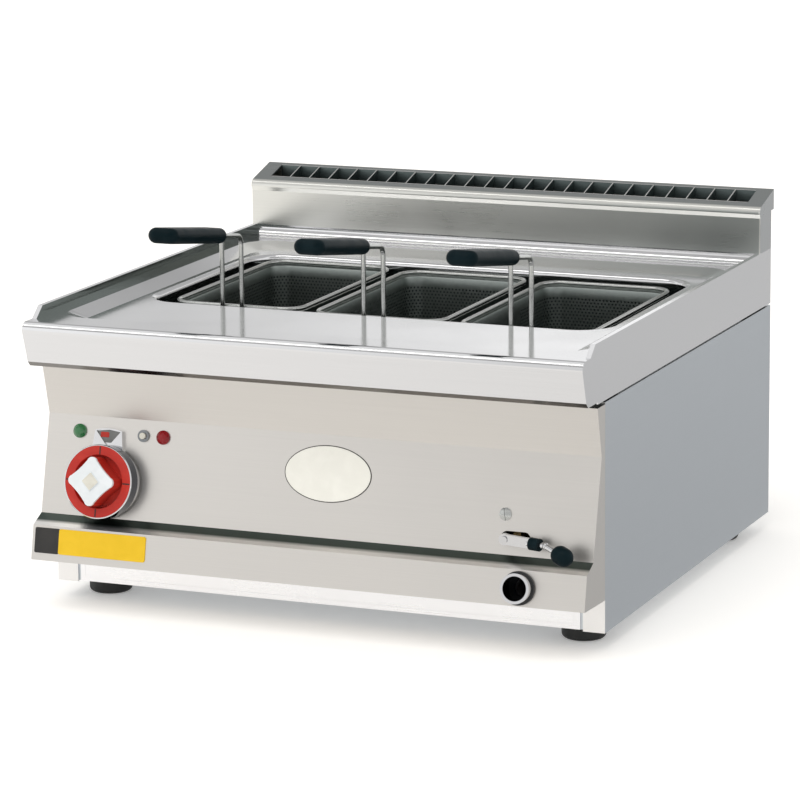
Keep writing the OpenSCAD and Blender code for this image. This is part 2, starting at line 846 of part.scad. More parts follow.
module worktop() {
    color("gainsboro") placed() {
        difference() {
            union() {
                translate([-half_w + rim_w, -deck_front, deck_z - top_sheet])
                    cube([unit_w - 2 * rim_w, splash_y - cove_r + deck_front, top_sheet]);
                recess_shape(top_sheet * 0.75, field_z - top_sheet, deck_z - top_sheet / 2);
                along_x(-half_w, half_w) fold(nose_path, top_sheet);
                along_x(-half_w, half_w) fold(rear_path, -top_sheet);
                both_sides() along_y(-deck_front, body_d) fold(rim_path, -top_sheet);
                both_sides() along_x(half_w - top_sheet, half_w)
                    polygon(concat(nose_path, [[-deck_front / 2, nose_bottom],
                        [-deck_front / 2, skirt_z], [0, skirt_z], [0, deck_z]]));
            }
            recess_shape(0, field_z, deck_z + eps);
            translate([0, open_y, field_z - 2 * top_sheet]) linear_extrude(4 * top_sheet)
                round_rect(open_w + 2 * draw_r, open_d + 2 * draw_r, open_r + draw_r);
            both_sides() along_x(half_w - rim_w - eps, half_w + eps)
                polygon([[-nose_out, deck_z], [-deck_front, deck_z],
                    [rim_slant - deck_front, rim_z], [rim_slant - deck_front, 2 * rim_z],
                    [-nose_out, 2 * rim_z]]);
            translate([-half_w - eps, -nose_out, skirt_z - eps])
                cube([unit_w + 2 * eps, nose_out - deck_front / 2, nose_bottom - skirt_z + eps]);
            translate([0, (splash_y + body_d) / 2, rim_z])
                cube([slot_w, flue_d - 4 * sheet, 4 * sheet], center = true);
        }
        drawn_edge();
        both_sides() along_x(half_w - rim_w, half_w)
            fold([[-deck_front - rim_lap, deck_z - rim_lap * rim_h / rim_slant],
                [rim_slant - deck_front, rim_z]],
                -top_sheet);
    }
}

// Splashback and flue

roll_path = arc([roll_y, roll_z], roll_r, 186, 90 + flue_slope);
splash_front_path = concat([[splash_y, rim_z], [splash_y, rim_z + splash_h]], roll_path,
    [[slot_y0, flue_z(slot_y0)]]);
channel_bottom = flue_z(channel_y) - channel_h;
splash_rear_path = [[slot_y1, flue_z(slot_y1)], [channel_y, flue_z(channel_y)],
    [channel_y, channel_bottom], [body_d, channel_bottom], [body_d, rim_z]];
flue_outline = concat([[splash_y, rim_z], [splash_y, rim_z + splash_h]], roll_path,
    [[channel_y, flue_z(channel_y)], [channel_y, channel_bottom], [body_d, channel_bottom],
        [body_d, rim_z]]);

module splash_front() {
    color("darkgray") placed() along_x(-inner_w, inner_w) fold(splash_front_path, -sheet);
}

module splash_rear() {
    color("darkgray") placed() along_x(-inner_w, inner_w) fold(splash_rear_path, -sheet);
}

// Right end cap of the splashback with the plain end of the flue top
module flue_end_shape() {
    along_x(inner_w, half_w) polygon(flue_outline);
    along_x(half_w - flue_end, inner_w)
        fold([[slot_y0, flue_z(slot_y0)], [slot_y1, flue_z(slot_y1)]], -sheet);
}

module left_flue_end() {
    color("darkgray") placed() mirror([1, 0, 0]) flue_end_shape();
}

module right_flue_end() {
    color("darkgray") placed() flue_end_shape();
}

// Upright strip along y under the sloping flue top
module flue_strip(y0, y1) {
    polygon([[y0, flue_z(y0)], [y1, flue_z(y1)], [y1, flue_z(y1) - fin_h],
        [y0, flue_z(y0) - fin_h]]);
}

module flue_grille() {
    rail_half = slot_w / 2 - fin_gap;
    y0 = slot_y0 + sheet * sin(flue_slope) + fin_gap;
    y1 = slot_y1 - fin_gap;
    color("slategray") placed() {
        along_x(-rail_half, rail_half) flue_strip(y0, y0 + fin_t);
        along_x(-rail_half, rail_half) flue_strip(y1 - fin_t, y1);
        for (i = [1 : fin_n])
            translate([-slot_w / 2 + i * fin_step, 0, 0]) along_x(-fin_t / 2, fin_t / 2)
                flue_strip(y0 + fin_t + fin_gap, y1 - fin_t - fin_gap);
    }
}

module flue_baffle() {
    rear = body_d - sheet;
    top = flue_z(rear) - baffle_down;
    color("darkslategray") placed() along_x(-slot_w / 2 + fin_step, slot_w / 2)
        fold([[rear, top - fin_h], [rear, top], [splash_y + 3 * sheet, top - baffle_fall]], sheet);
}

// Tank and heating

module tank() {
    corner_z = tank_floor + tank_floor_r;
    color("lightsteelblue") placed() difference() {
        translate([0, open_y, 0]) {
            around(tank_w, tank_d, tank_r) {
                translate([0, corner_z]) square([tank_sheet, field_z - top_sheet - corner_z]);
                translate([0, field_z - top_sheet - tank_sheet]) square([tank_flange, tank_sheet]);
                translate([-tank_floor_r, corner_z])
                    quarter_ring(tank_floor_r + tank_sheet, tank_sheet, 1, -1);
            }
            translate([0, 0, tank_floor - tank_sheet]) linear_extrude(tank_sheet)
                round_rect(tank_w - 2 * tank_floor_r, tank_d - 2 * tank_floor_r, tank_r - tank_floor_r);
        }
        translate([tap_right, tank_front + 2 * tank_sheet, pipe_z]) rotate([90, 0, 0])
            cylinder(d = pipe_bore, h = 4 * tank_sheet);
        element_legs() cylinder(d = element_d + 2 * outlet_fit, h = 4 * tank_sheet, center = true);
    }
}

// Every place where an element leg meets the tank's left wall, with z along x
module element_legs() {
    for (i = [0 : element_n - 1], s = [-1, 1])
        translate([-tank_w / 2 - tank_sheet / 2, element_y(i) + s * hairpin_w / 2,
            tank_floor + element_up]) rotate([0, 90, 0]) children();
}

function element_y(i) = open_y + (i - (element_n - 1) / 2) * hairpin_pitch;

module heating_elements() {
    x0 = -tank_w / 2 - tank_sheet - element_plate_t - terminal_l;
    x1 = tank_w / 2 - hairpin_end;
    color("dimgray") placed() for (i = [0 : element_n - 1]) {
        translate([0, element_y(i), tank_floor + element_up]) {
            for (s = [-1, 1]) translate([x0, s * hairpin_w / 2, 0]) rotate([0, 90, 0])
                cylinder(d = element_d, h = x1 - x0);
            translate([x1, 0, 0]) rotate(-90) rotate_extrude(angle = 180)
                translate([hairpin_w / 2, 0]) circle(d = element_d);
        }
    }
}

module element_plate() {
    l = (element_n - 1) * hairpin_pitch + hairpin_w + element_plate_h;
    color("gray") placed() difference() {
        translate([-tank_w / 2 - tank_sheet - element_plate_t, open_y - l / 2, tank_floor])
            cube([element_plate_t, l, element_plate_h]);
        element_legs() translate([0, 0, -element_plate_t])
            cylinder(d = element_d + 2 * outlet_fit, h = 4 * element_plate_t, center = true);
    }
}

module false_bottom() {
    w = tank_w - 2 * grate_gap;
    d = tank_d - 2 * grate_gap;
    px = (w - 2 * grate_hole) / grate_nx;
    py = (d - 2 * grate_hole) / grate_ny;
    color("silver") placed() translate([0, open_y, 0]) {
        difference() {
            translate([0, 0, grate_z]) linear_extrude(tank_sheet) round_rect(w, d, tank_r - grate_gap);
            for (i = [0 : grate_nx - 1], j = [0 : grate_ny - 1])
                translate([(i - (grate_nx - 1) / 2) * px, (j - (grate_ny - 1) / 2) * py, grate_z - eps])
                    cylinder(d = grate_hole, h = tank_sheet + 2 * eps, $fn = 24);
        }
        for (x = [-1, 1], y = [-1, 1])
            translate([x * (w / 2 - tank_r), y * (d / 2 - grate_hole), tank_floor])
                cylinder(d = grate_leg, h = grate_up - rest_gap);
    }
}

// Thermostat bulb in a pocket under the tank floor
module thermostat_bulb() {
    d = element_d;
    color("peru") placed()
        translate([-hairpin_pitch, open_y - hairpin_pitch, tank_floor - tank_sheet - d]) {
            rotate([0, 90, 0]) cylinder(d = d, h = hairpin_pitch);
            translate([0, -d / 2, 0]) cube([hairpin_pitch, d, d]);
        }
}

// Baskets

// One basket's pieces stand in the middle; the nodes move them to their places
module basket_body() {
    z0 = grate_z + tank_sheet + rest_gap;
    z1 = rim_wire_z - wire_d / 2;
    r = basket_floor_r;
    translate([0, basket_y, 0]) {
        around(wall_w, wall_l, basket_r) {
            translate([-basket_sheet, z0 + r]) square([basket_sheet, z1 - z0 - r]);
            translate([-basket_sheet, z1 - basket_sheet]) square([basket_sheet + wire_d, basket_sheet]);
            translate([-r, z0 + r]) quarter_ring(r, basket_sheet, 1, -1);
        }
        translate([0, 0, z0]) linear_extrude(basket_sheet)
            round_rect(wall_w - 2 * r, wall_l - 2 * r, basket_r - r);
    }
}

module basket_rim() {
    translate([0, basket_y, rim_wire_z]) around(wall_w, wall_l, basket_r)
        translate([wire_out, grip_fit / 2]) circle(d = wire_d, $fn = 32);
}

// Bent rods that lead into the grip, with a thin weld at the end of each bend, and a cross strap
// that joins their lower ends to the wall
module basket_handle() {
    bend_end = bend_r * [cos(bend_turn), sin(bend_turn)];
    for (s = [-1, 1]) translate([s * rod_gap / 2, rod_y, 0]) {
        translate([0, 0, rim_wire_z - rod_down]) cylinder(d = rod_d, h = bend_z - rim_wire_z + rod_down);
        translate([0, -bend_r, bend_z]) rotate([90, 0, 90]) rotate_extrude(angle = bend_turn)
            translate([bend_r, 0]) circle(d = rod_d, $fn = 32);
        translate([0, bend_end.x - bend_r, bend_z + bend_end.y]) rotate([90 - grip_tilt, 0, 0]) {
            cylinder(d = rod_d, h = grip_start + rod_in);
            translate([0, 0, -5 * eps]) cylinder(d = rod_d + 2 * grip_fit, h = 10 * eps);
        }
    }
    translate([-rod_gap, rod_y, rim_wire_z - rod_down])
        cube([2 * rod_gap, basket_y - wall_l / 2 - rod_y, rod_d]);
}

// Grip: a flat block with half-round edges and two blind bores for the rods
module basket_grip() {
    bend_end = bend_r * [cos(bend_turn), sin(bend_turn)];
    edge_r = grip_t / 2;
    core_w = grip_w - grip_t;
    core_l = grip_l - grip_t;
    translate([0, rod_y - bend_r + bend_end.x, bend_z + bend_end.y]) rotate([90 - grip_tilt, 0, 0])
        translate([0, 0, grip_start]) difference() {
            translate([0, 0, grip_l / 2]) rotate([90, 0, 0]) {
                around(core_w, core_l, grip_corner) intersection() {
                    circle(edge_r);
                    translate([0, -edge_r]) square(2 * edge_r);
                }
                translate([0, 0, -edge_r]) linear_extrude(2 * edge_r)
                    round_rect(core_w, core_l, grip_corner);
            }
            for (s = [-1, 1]) translate([s * rod_gap / 2, 0, -eps])
                cylinder(d = rod_d + 2 * grip_fit, h = rod_in + grip_fit + eps);
        }
}

module basket_at(k) {
    placed() translate([(k - (basket_n - 1) / 2) * basket_pitch, basket_set[k], 0]) children();
}

// Knob

module knob_bezel() {
    hub = bush_d + 2 * shaft_d;
    half = asin(tab_w / 2 / tab_reach);
    field = asin((tab_w / 2 - tab_border) / tab_reach);
    foot_y = bezel_d / 4;
    color("silver") placed() on_slope(-knob_left, knob_down) {
        difference() {
            cylinder(d = bezel_d, h = bezel_t);
            translate([0, 0, -eps]) cylinder(d = hub, h = bezel_t + 2 * eps);
            translate([0, 0, bezel_t / 2]) cylinder(d = bezel_d - 2 * dial_wall, h = bezel_t);
        }
        difference() {
            linear_extrude(tab_t) polygon(concat([[-tab_foot_w / 2, foot_y], [tab_foot_w / 2, foot_y]],
                arc([0, 0], tab_reach, 90 - half, 90 + half)));
            translate([0, 0, tab_t - tab_depth]) linear_extrude(tab_t)
                polygon(concat([[-tab_field_w / 2, dial_d / 2], [tab_field_w / 2, dial_d / 2]],
                    arc([0, 0], tab_reach - tab_border, 90 - field, 90 + field)));
            translate([0, 0, -eps]) cylinder(d = bezel_d - dial_wall, h = 2 * tab_t);
        }
    }
}

// Dial: a bright turned cup that carries the handle
module knob_dial() {
    r = dial_d / 2;
    z0 = bezel_t + dial_gap;
    bore = shaft_d / 2 + grip_fit;
    floor_z = dial_z - dial_recess - dial_wall;
    color("silver") placed() on_slope(-knob_left, knob_down) rotate_extrude()
        polygon([[bore, z0], [bore + dial_wall, z0], [bore + dial_wall, floor_z - dial_wall],
            [r - dial_wall, floor_z - dial_wall], [r - dial_wall, z0], [r, z0],
            [r, dial_z - rim_t / 2], [r - rim_t / 2, dial_z], [r - rim_t, dial_z], [r - rim_t, floor_z],
            [bore, floor_z]]);
}

// Outline of the four-lobed handle, drawn in by some amount: round tips joined by hollow sides
module lobes(inset) {
    tip = lobe_tip - inset;
    tip_at = lobe_r - lobe_tip;
    waist = waist_r - inset;
    c = cos(45);
    hollow = (waist * waist + tip_at * tip_at - 2 * waist * tip_at * c - tip * tip)
        / (2 * (tip - waist + tip_at * c));
    middle = (waist + hollow) * [c, c];
    touch = [tip_at, 0] + 0.9 * tip * unit(middle - [tip_at, 0]);
    difference() {
        polygon([for (k = [0 : 3], e = [-1, 1]) let (a = 90 * k)
            [touch.x * cos(a) - e * touch.y * sin(a), touch.x * sin(a) + e * touch.y * cos(a)]]);
        for (a = [45 : 90 : 315]) rotate(a) translate([waist + hollow, 0]) circle(hollow + eps);
    }
    for (a = [0 : 90 : 270]) rotate(a) translate([tip_at, 0]) circle(tip);
}

// Handle: a red moulding with a face ring, a recess and four lobes
module knob_handle() {
    r = dial_d / 2 - rim_t - grip_fit;
    z0 = dial_z - dial_recess - dial_wall + grip_fit;
    floor_z = dial_z - dial_recess;
    bore = shaft_d / 2 + grip_fit;
    color("firebrick") placed() on_slope(-knob_left, knob_down) {
        rotate_extrude() polygon([[bore, z0], [r, z0], [r, dial_z], [r - face_ring, dial_z],
            [r - face_ring - 2, floor_z], [bore, floor_z]]);
        difference() {
            translate([0, 0, floor_z - dial_wall / 2])
                linear_extrude(handle_z - cap_t - floor_z + dial_wall / 2) lobes(0);
            translate([0, 0, z0 - eps]) cylinder(r = bore, h = handle_z - cap_t - dial_recess - z0);
        }
    }
}

// White cap on the handle with a square pad
module knob_cap() {
    color("white") placed() on_slope(-knob_left, knob_down) {
        translate([0, 0, handle_z - cap_t]) linear_extrude(cap_t) lobes(grip_fit);
        translate([0, 0, handle_z]) rotate(45) linear_extrude(pad_t) square(pad_w, center = true);
    }
}

module selector_shaft() {
    color("silver") placed() on_slope(-knob_left, knob_down)
        translate([0, 0, -switch_h / 2])
            cylinder(d = shaft_d, h = switch_h / 2 + handle_z - 2 * dial_recess);
}

module selector_switch() {
    color("dimgray") placed() on_slope(-knob_left, knob_down) difference() {
        union() {
            translate([-switch_w / 2, -switch_w / 2, -sheet - switch_h])
                cube([switch_w, switch_w, switch_h]);
            translate([0, 0, -2 * sheet]) cylinder(d = bush_d, h = 2 * sheet + bezel_t / 2);
        }
        translate([0, 0, -switch_h / 2 - rest_gap])
            cylinder(d = shaft_d + 2 * shaft_fit, h = switch_h);
    }
}

// Lamps and reset button

module lens(left) {
    r = lens_d / 2;
    placed() on_slope(-left, lamp_down) rotate_extrude()
        polygon(concat([[0, 0], [r, 0], [r, lens_h / 3]],
            [for (a = [15 : 15 : 75]) [(r - 1) * cos(a), lens_h / 3 + lens_h * 2 / 3 * sin(a)]],
            [[0, lens_h]]));
}

module lamp_holders() {
    color("whitesmoke") placed() for (left = [green_left, red_left])
        on_slope(-left, lamp_down) {
            translate([0, 0, -holder_l]) cylinder(d = holder_d, h = holder_l);
            translate([0, 0, -4 * sheet]) cylinder(d = holder_d + 4, h = 3 * sheet, $fn = 6);
        }
}

module safety_thermostat() {
    w = thermostat_w;
    color("lightgray") placed() on_slope(-reset_left, lamp_down) difference() {
        union() {
            translate([-w / 2, -w, -sheet - thermostat_h]) cube([w, w + bush_d / 2, thermostat_h]);
            translate([0, 0, -2 * sheet]) cylinder(d = bush_d - 1, h = 2 * sheet + reset_ring_h / 2);
            cylinder(d = reset_ring, h = reset_ring_h);
        }
        translate([0, 0, -thermostat_h / 2 - reset_travel - rest_gap])
            cylinder(d = reset_d + 2 * reset_fit, h = 2 * thermostat_h);
    }
}

module reset_button() {
    color("ivory") placed() on_slope(-reset_left, lamp_down) translate([0, 0, -thermostat_h / 2])
        cylinder(d = reset_d, h = thermostat_h / 2 + reset_ring_h + reset_out);
}

// Drain

module drain_pipe() {
    wall_y = tank_front - tank_sheet;
    run = [[tap_right, wall_y, pipe_z], [tap_right, tap_y, pipe_z], [tap_right, tap_y, valve_top]];
    bore = [run[0] + [0, eps, 0], run[1], run[2] - [0, 0, eps]];
    color("silver") placed() difference() {
        union() {
            pipe_run(run, pipe_d);
            bar(run[0], run[0] - [0, collar_t, 0], collar_d);
        }
        pipe_run(bore, pipe_bore);
    }
}

module valve_body() {
    color("goldenrod") placed() translate([tap_right, tap_y, tap_z]) difference() {
        union() {
            cylinder(d = valve_hex / cos(30), h = valve_l, center = true, $fn = 6);
            cylinder(d = valve_d, h = valve_l - valve_hex / 2, center = true);
            rotate([90, 0, 0]) cylinder(d = gland_d, h = valve_d / 2 + 4);
        }
        cylinder(d = pipe_bore, h = valve_l + 2 * eps, center = true);
        sphere(d = ball_d + 2 * ball_gap);
        rotate([90, 0, 0]) cylinder(d = stem_d + 2 * stem_fit, h = valve_d);
    }
}

// Ball with its bore across the pipe when the tap is shut, cut flat where the stem drives it
module valve_ball() {
    color("lightgray") placed() translate([tap_right, tap_y, tap_z]) difference() {
        rotate([0, 90, 0]) rotate_extrude() intersection() {
            circle(d = ball_d);
            translate([pipe_bore / 2 - 2, -ball_d]) square(2 * ball_d);
        }
        translate([0, -ball_d / 2 - stem_flat(), 0]) cube(ball_d, center = true);
    }
}

// Distance from the ball's centre to its flat
function stem_flat() = ball_d / 2 - 2;

module valve_stem() {
    color("silver") placed() on_tap() {
        translate([0, 0, stem_flat()]) cylinder(d = stem_d, h = stem_out - neck_l - stem_flat());
        translate([0, 0, stem_out - neck_l]) cylinder(d = neck_d, h = neck_l);
    }
}

// Lever: a hub on the stem, a flat bar and a rod with a bead at its bend
module drain_lever() {
    turn = atan2(-lever_rise, lever_run);
    along = unit(lever_bend - lever_mid);
    start = lever_hub / 4;
    color("silver") placed() translate([tap_right, tap_y, tap_z]) {
        difference() {
            union() {
                rotate([90, 0, 0]) translate([0, 0, lever_seat]) cylinder(d = lever_hub, h = lever_t);
                translate(lever_root) rotate(turn) translate([start, -lever_t / 2, -lever_w / 2])
                    cube([norm(lever_mid - lever_root) - start, lever_t, lever_w]);
            }
            rotate([90, 0, 0]) cylinder(d = neck_d + 2 * neck_fit, h = 2 * stem_out);
        }
        bar(lever_mid - lever_t * along, lever_bend, lever_rod);
        bar(lever_bend, lever_knob, lever_rod);
        translate(lever_bend) sphere(d = lever_bead);
    }
}

module lever_grip() {
    along = unit(lever_bend - lever_mid);
    inwards = unit(lever_bend - lever_knob);
    bore = lever_rod + 2 * grip_fit;
    r = knob_ball / 2;
    color("black") placed() translate([tap_right, tap_y, tap_z]) {
        difference() {
            bar(lever_mid + grip_fit * along, lever_bend - lever_bead * along, sleeve_d);
            bar(lever_mid - along, lever_bend + along, bore);
        }
        translate(lever_knob) rotate([0, acos(inwards.z), atan2(inwards.y, inwards.x)]) rotate_extrude()
            difference() {
                intersection() {
                    union() {
                        for (s = [-1, 1]) translate([0, s * knob_long / 2]) circle(r);
                        translate([-r, -knob_long / 2]) square([knob_ball, knob_long]);
                    }
                    translate([0, -knob_ball]) square(2 * knob_ball);
                }
                translate([-bore / 2, -grip_fit]) square([bore, 2 * knob_ball]);
            }
    }
}

// Points of the pipe under the valve, from the valve's lower end to the outlet's back
lip_mid = [outlet_right, -ledge_out, ledge_z] - outlet_down * [0, sin(lip_tilt), cos(lip_tilt)];
lip_normal = [0, -cos(lip_tilt), sin(lip_tilt)];
outlet_end = lip_mid - outlet_in * lip_normal;
outlet_run = [[tap_right, tap_y, valve_bottom], [tap_right, tap_y, valve_bottom - pipe_d / 2],
    outlet_end - pipe_d / 2 * lip_normal, outlet_end];

module outlet_pipe() {
    last = outlet_run[3] + eps * lip_normal;
    first = outlet_run[0] + [0, 0, eps];
    color("silver") placed() difference() {
        pipe_run(outlet_run, pipe_d);
        pipe_run([first, outlet_run[1], outlet_run[2], last], pipe_bore);
    }
}

module drain_outlet() {
    color("silver") placed() on_lip(outlet_right, outlet_down) difference() {
        union() {
            translate([0, 0, -outlet_in]) cylinder(d = outlet_neck, h = outlet_in + outlet_out);
            translate([0, 0, gasket_t]) cylinder(d = outlet_ring, h = outlet_out - gasket_t);
        }
        translate([0, 0, outlet_back - outlet_in])
            cylinder(d = outlet_bore, h = 2 * outlet_out + outlet_in);
        translate([0, 0, -outlet_in - eps]) cylinder(d = pipe_bore, h = outlet_in);
    }
}

module outlet_flange() {
    color("black") placed() on_lip(outlet_right, outlet_down) difference() {
        cylinder(d = gasket_d, h = gasket_t);
        translate([0, 0, -eps]) cylinder(d = outlet_neck + 2 * outlet_fit, h = gasket_t + 2 * eps);
    }
}

// Rear

module cable_gland() {
    back = body_d - sheet;
    color("black") placed() translate([gland_right, back, gland_z]) rotate([-90, 0, 0]) difference() {
        union() {
            cylinder(d = cable_hex / cos(30), h = cable_out / 2, $fn = 6);
            cylinder(d = cable_thread + 2, h = cable_out);
            translate([0, 0, -cable_in]) cylinder(d = cable_thread, h = cable_in);
            translate([0, 0, -sheet - cable_in / 2])
                cylinder(d = cable_hex / cos(30), h = cable_in / 2, $fn = 6);
        }
        translate([0, 0, -cable_in - eps]) cylinder(d = cable_bore, h = cable_in + cable_out + 2 * eps);
    }
}

module terminal_block() {
    color("whitesmoke") placed() translate([gland_right - 2 * block_w, body_d - 3 * block_d, 2 * sheet])
        difference() {
            cube([block_w, block_d, block_h]);
            for (i = [0 : 4]) translate([(i + 0.5) * block_w / 5, block_d / 2, block_h / 2])
                cylinder(d = block_w / 12, h = block_h);
        }
}

base_pan();
left_side_panel();
right_side_panel();
rear_panel();
plinth_strip();
control_panel();
left_top_rail();
right_top_rail();
front_top_rail();
worktop();
splash_front();
splash_rear();
left_flue_end();
right_flue_end();
flue_grille();
flue_baffle();
foot(-1, foot_front);  // front_left_foot
foot(1, foot_front);  // front_right_foot
foot(-1, body_d - foot_back);  // rear_left_foot
foot(1, body_d - foot_back);  // rear_right_foot
foot_nuts();
tank();
false_bottom();
heating_elements();
element_plate();
thermostat_bulb();
knob_bezel();
knob_dial();
knob_handle();
knob_cap();
selector_shaft();
selector_switch();
color("green") lens(green_left);  // green_lens
color("red") lens(red_left);  // red_lens
lamp_holders();
safety_thermostat();
reset_button();
drain_pipe();
valve_body();
valve_ball();
valve_stem();
drain_lever();
lever_grip();
outlet_pipe();
drain_outlet();
outlet_flange();
cable_gland();
terminal_block();
color("lightgray") basket_at(0) basket_body();  // left_basket_body
color("silver") basket_at(0) basket_rim();  // left_basket_rim
color("silver") basket_at(0) basket_handle();  // left_basket_handle
color("black") basket_at(0) basket_grip();  // left_basket_grip
color("lightgray") basket_at(1) basket_body();  // middle_basket_body
color("silver") basket_at(1) basket_rim();  // middle_basket_rim
color("silver") basket_at(1) basket_handle();  // middle_basket_handle
color("black") basket_at(1) basket_grip();  // middle_basket_grip
color("lightgray") basket_at(2) basket_body();  // right_basket_body
color("silver") basket_at(2) basket_rim();  // right_basket_rim
color("silver") basket_at(2) basket_handle();  // right_basket_handle
color("black") basket_at(2) basket_grip();  // right_basket_grip
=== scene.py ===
# %% [markdown]
# # A countertop pasta cooker, dressed for its photograph
# The solid model of the cooker is already there, with every sheet, pipe and rod in its place.
# This lesson gives it the camera, the light, the finishes and the fine pieces that a solid model
# leaves out: the perforated walls of the baskets, the plates, the marks and the small screws.

# %% Load the frame
import math

import bmesh
import bpy
import numpy as np
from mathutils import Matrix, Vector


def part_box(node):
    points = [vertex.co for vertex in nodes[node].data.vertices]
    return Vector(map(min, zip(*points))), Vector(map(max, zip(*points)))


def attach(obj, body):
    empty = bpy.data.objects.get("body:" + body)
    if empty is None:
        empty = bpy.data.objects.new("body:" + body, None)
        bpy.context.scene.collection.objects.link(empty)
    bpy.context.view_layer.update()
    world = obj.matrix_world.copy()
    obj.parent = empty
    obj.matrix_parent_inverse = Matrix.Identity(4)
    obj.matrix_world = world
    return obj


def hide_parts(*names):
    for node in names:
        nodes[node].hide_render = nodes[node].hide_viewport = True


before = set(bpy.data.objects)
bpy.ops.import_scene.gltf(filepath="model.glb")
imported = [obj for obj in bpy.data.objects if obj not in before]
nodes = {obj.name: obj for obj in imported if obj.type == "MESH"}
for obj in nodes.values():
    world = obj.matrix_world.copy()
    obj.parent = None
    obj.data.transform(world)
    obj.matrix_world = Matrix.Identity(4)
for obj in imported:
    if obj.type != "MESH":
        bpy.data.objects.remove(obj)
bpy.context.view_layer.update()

scene = bpy.context.scene

# %% [markdown]
# ## One measuring frame
# Sheet metal is easiest to think about from the cabinet itself: x from the middle, y back from the
# front edge of the side panels and z up from their bottom edge, all in millimetres. The right side
# panel's own box says where that corner lies, so the lesson never repeats the number.

# %% From the cabinet's millimetres to Blender's metres
MM = 0.001
corner_low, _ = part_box("right_side_panel")
SHIFT = np.array([0.0, corner_low.y, corner_low.z])


def to_metres(points):
    """Cabinet millimetres to scene metres: divide by 1000 and add the cabinet corner."""
    return np.asarray(points, float) / 1000.0 + SHIFT


print("cabinet corner at", np.round(SHIFT, 5))

# %% [markdown]
# ## The camera
# The photograph was taken from far away with a long lens: the side edges hardly run together. A
# camera is three directions and a place. The back direction follows from the azimuth and the
# elevation, the right one is level, and a small roll turns the picture in its own plane.

# %% Camera
AZIMUTH, ELEVATION, ROLL = np.radians([22.568, 12.122, -0.5555])
EYE_PLACE = [1564.40, -3559.88, 1046.44]
FOCAL_LENGTH, SENSOR_WIDTH, FAR_CLIP = 179.48, 36.0, 100.0

eye = to_metres(EYE_PLACE)
back = np.array([math.sin(AZIMUTH) * math.cos(ELEVATION),
                 -math.cos(AZIMUTH) * math.cos(ELEVATION), math.sin(ELEVATION)])
level = np.cross(-back, [0.0, 0.0, 1.0])
level /= np.linalg.norm(level)
upright = np.cross(level, -back)
right = math.cos(ROLL) * level + math.sin(ROLL) * upright
up = -math.sin(ROLL) * level + math.cos(ROLL) * upright

pose = np.eye(4)
pose[:3, 0], pose[:3, 1], pose[:3, 2], pose[:3, 3] = right, up, back, eye
lens = bpy.data.cameras.new("photo_camera")
lens.lens, lens.sensor_width, lens.sensor_fit = FOCAL_LENGTH, SENSOR_WIDTH, "HORIZONTAL"
lens.clip_end = FAR_CLIP
camera = bpy.data.objects.new("photo_camera", lens)
scene.collection.objects.link(camera)
camera.matrix_world = pose.T.tolist()
bpy.context.scene.camera = camera
print("camera stands", round(float(np.linalg.norm(eye)), 3), "m from the origin")

# %% [markdown]
# ## A surface from whole arrays
# Every new piece is a set of points worked out with numpy and a table of faces. One helper puts
# both into a mesh, rides the piece on its body and hands it its finish.

# %% Mesh helper
WELD, SLIVER = 1e-6, 1e-7
CREASE = 35.0


def surface(name, points, tables, finish, body):
    """Puts points (n x 3, cabinet mm) and face tables (each m x 3 or m x 4) into one mesh. Points
    that coincide are welded, and faces that meet at more than the crease angle stay sharp."""
    mesh = bpy.data.meshes.new(name)
    tables = [np.asarray(t, np.int32) for t in tables]
    corners = np.concatenate([t.ravel() for t in tables])
    sizes = np.concatenate([np.full(len(t), t.shape[1], np.int32) for t in tables])
    starts = np.concatenate([[0], np.cumsum(sizes)[:-1]]).astype(np.int32)
    mesh.vertices.add(len(points))
    mesh.vertices.foreach_set("co", to_metres(points).astype(np.float32).ravel())
    mesh.loops.add(len(corners))
    mesh.loops.foreach_set("vertex_index", corners)
    mesh.polygons.add(len(sizes))
    mesh.polygons.foreach_set("loop_start", starts)
    mesh.update(calc_edges=True)
    work = bmesh.new()
    work.from_mesh(mesh)
    bmesh.ops.remove_doubles(work, verts=work.verts, dist=WELD)
    bmesh.ops.dissolve_degenerate(work, edges=work.edges, dist=SLIVER)
    work.to_mesh(mesh)
    work.free()
    mesh.polygons.foreach_set("use_smooth", np.ones(len(mesh.polygons), bool))
    mesh.set_sharp_from_angle(angle=math.radians(CREASE))
    mesh.materials.append(finish)
    piece = bpy.data.objects.new(name, mesh)
    scene.collection.objects.link(piece)
    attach(piece, body)
    return piece


def grid_faces(rows, columns, wrap_columns=False, first=0):
    """Quads of a rows x columns grid of points; wrapped columns join their end to their start."""
    i, j = np.arange(rows - 1), np.arange(columns if wrap_columns else columns - 1)
    i, j = (a.ravel() for a in np.meshgrid(i, j, indexing="ij"))
    here, there, j2 = i * columns, (i + 1) * columns, (j + 1) % columns
    return first + np.stack([here + j, here + j2, there + j2, there + j], 1)


print("helpers ready: faces of a 2 x 3 grid:", len(grid_faces(2, 3)))

# %% [markdown]
# ## Nodes in one line
# Materials, the room and the floor all need the same few nodes: a sum or product, a change of
# range, a noise and a mix of two colours. Each gets a helper that makes it and links it.

# %% Node helpers


def put(tree, value, socket):
    """Links a socket to an input, or writes a plain value on it."""
    if isinstance(value, bpy.types.NodeSocket):
        tree.links.new(value, socket)
    else:
        socket.default_value = value


def maths(tree, operation, *values, clamp=False):
    """Math node on linked or plain values."""
    node = tree.nodes.new("ShaderNodeMath")
    node.operation, node.use_clamp = operation, clamp
    for value, socket in zip(values, node.inputs):
        put(tree, value, socket)
    return node.outputs[0]


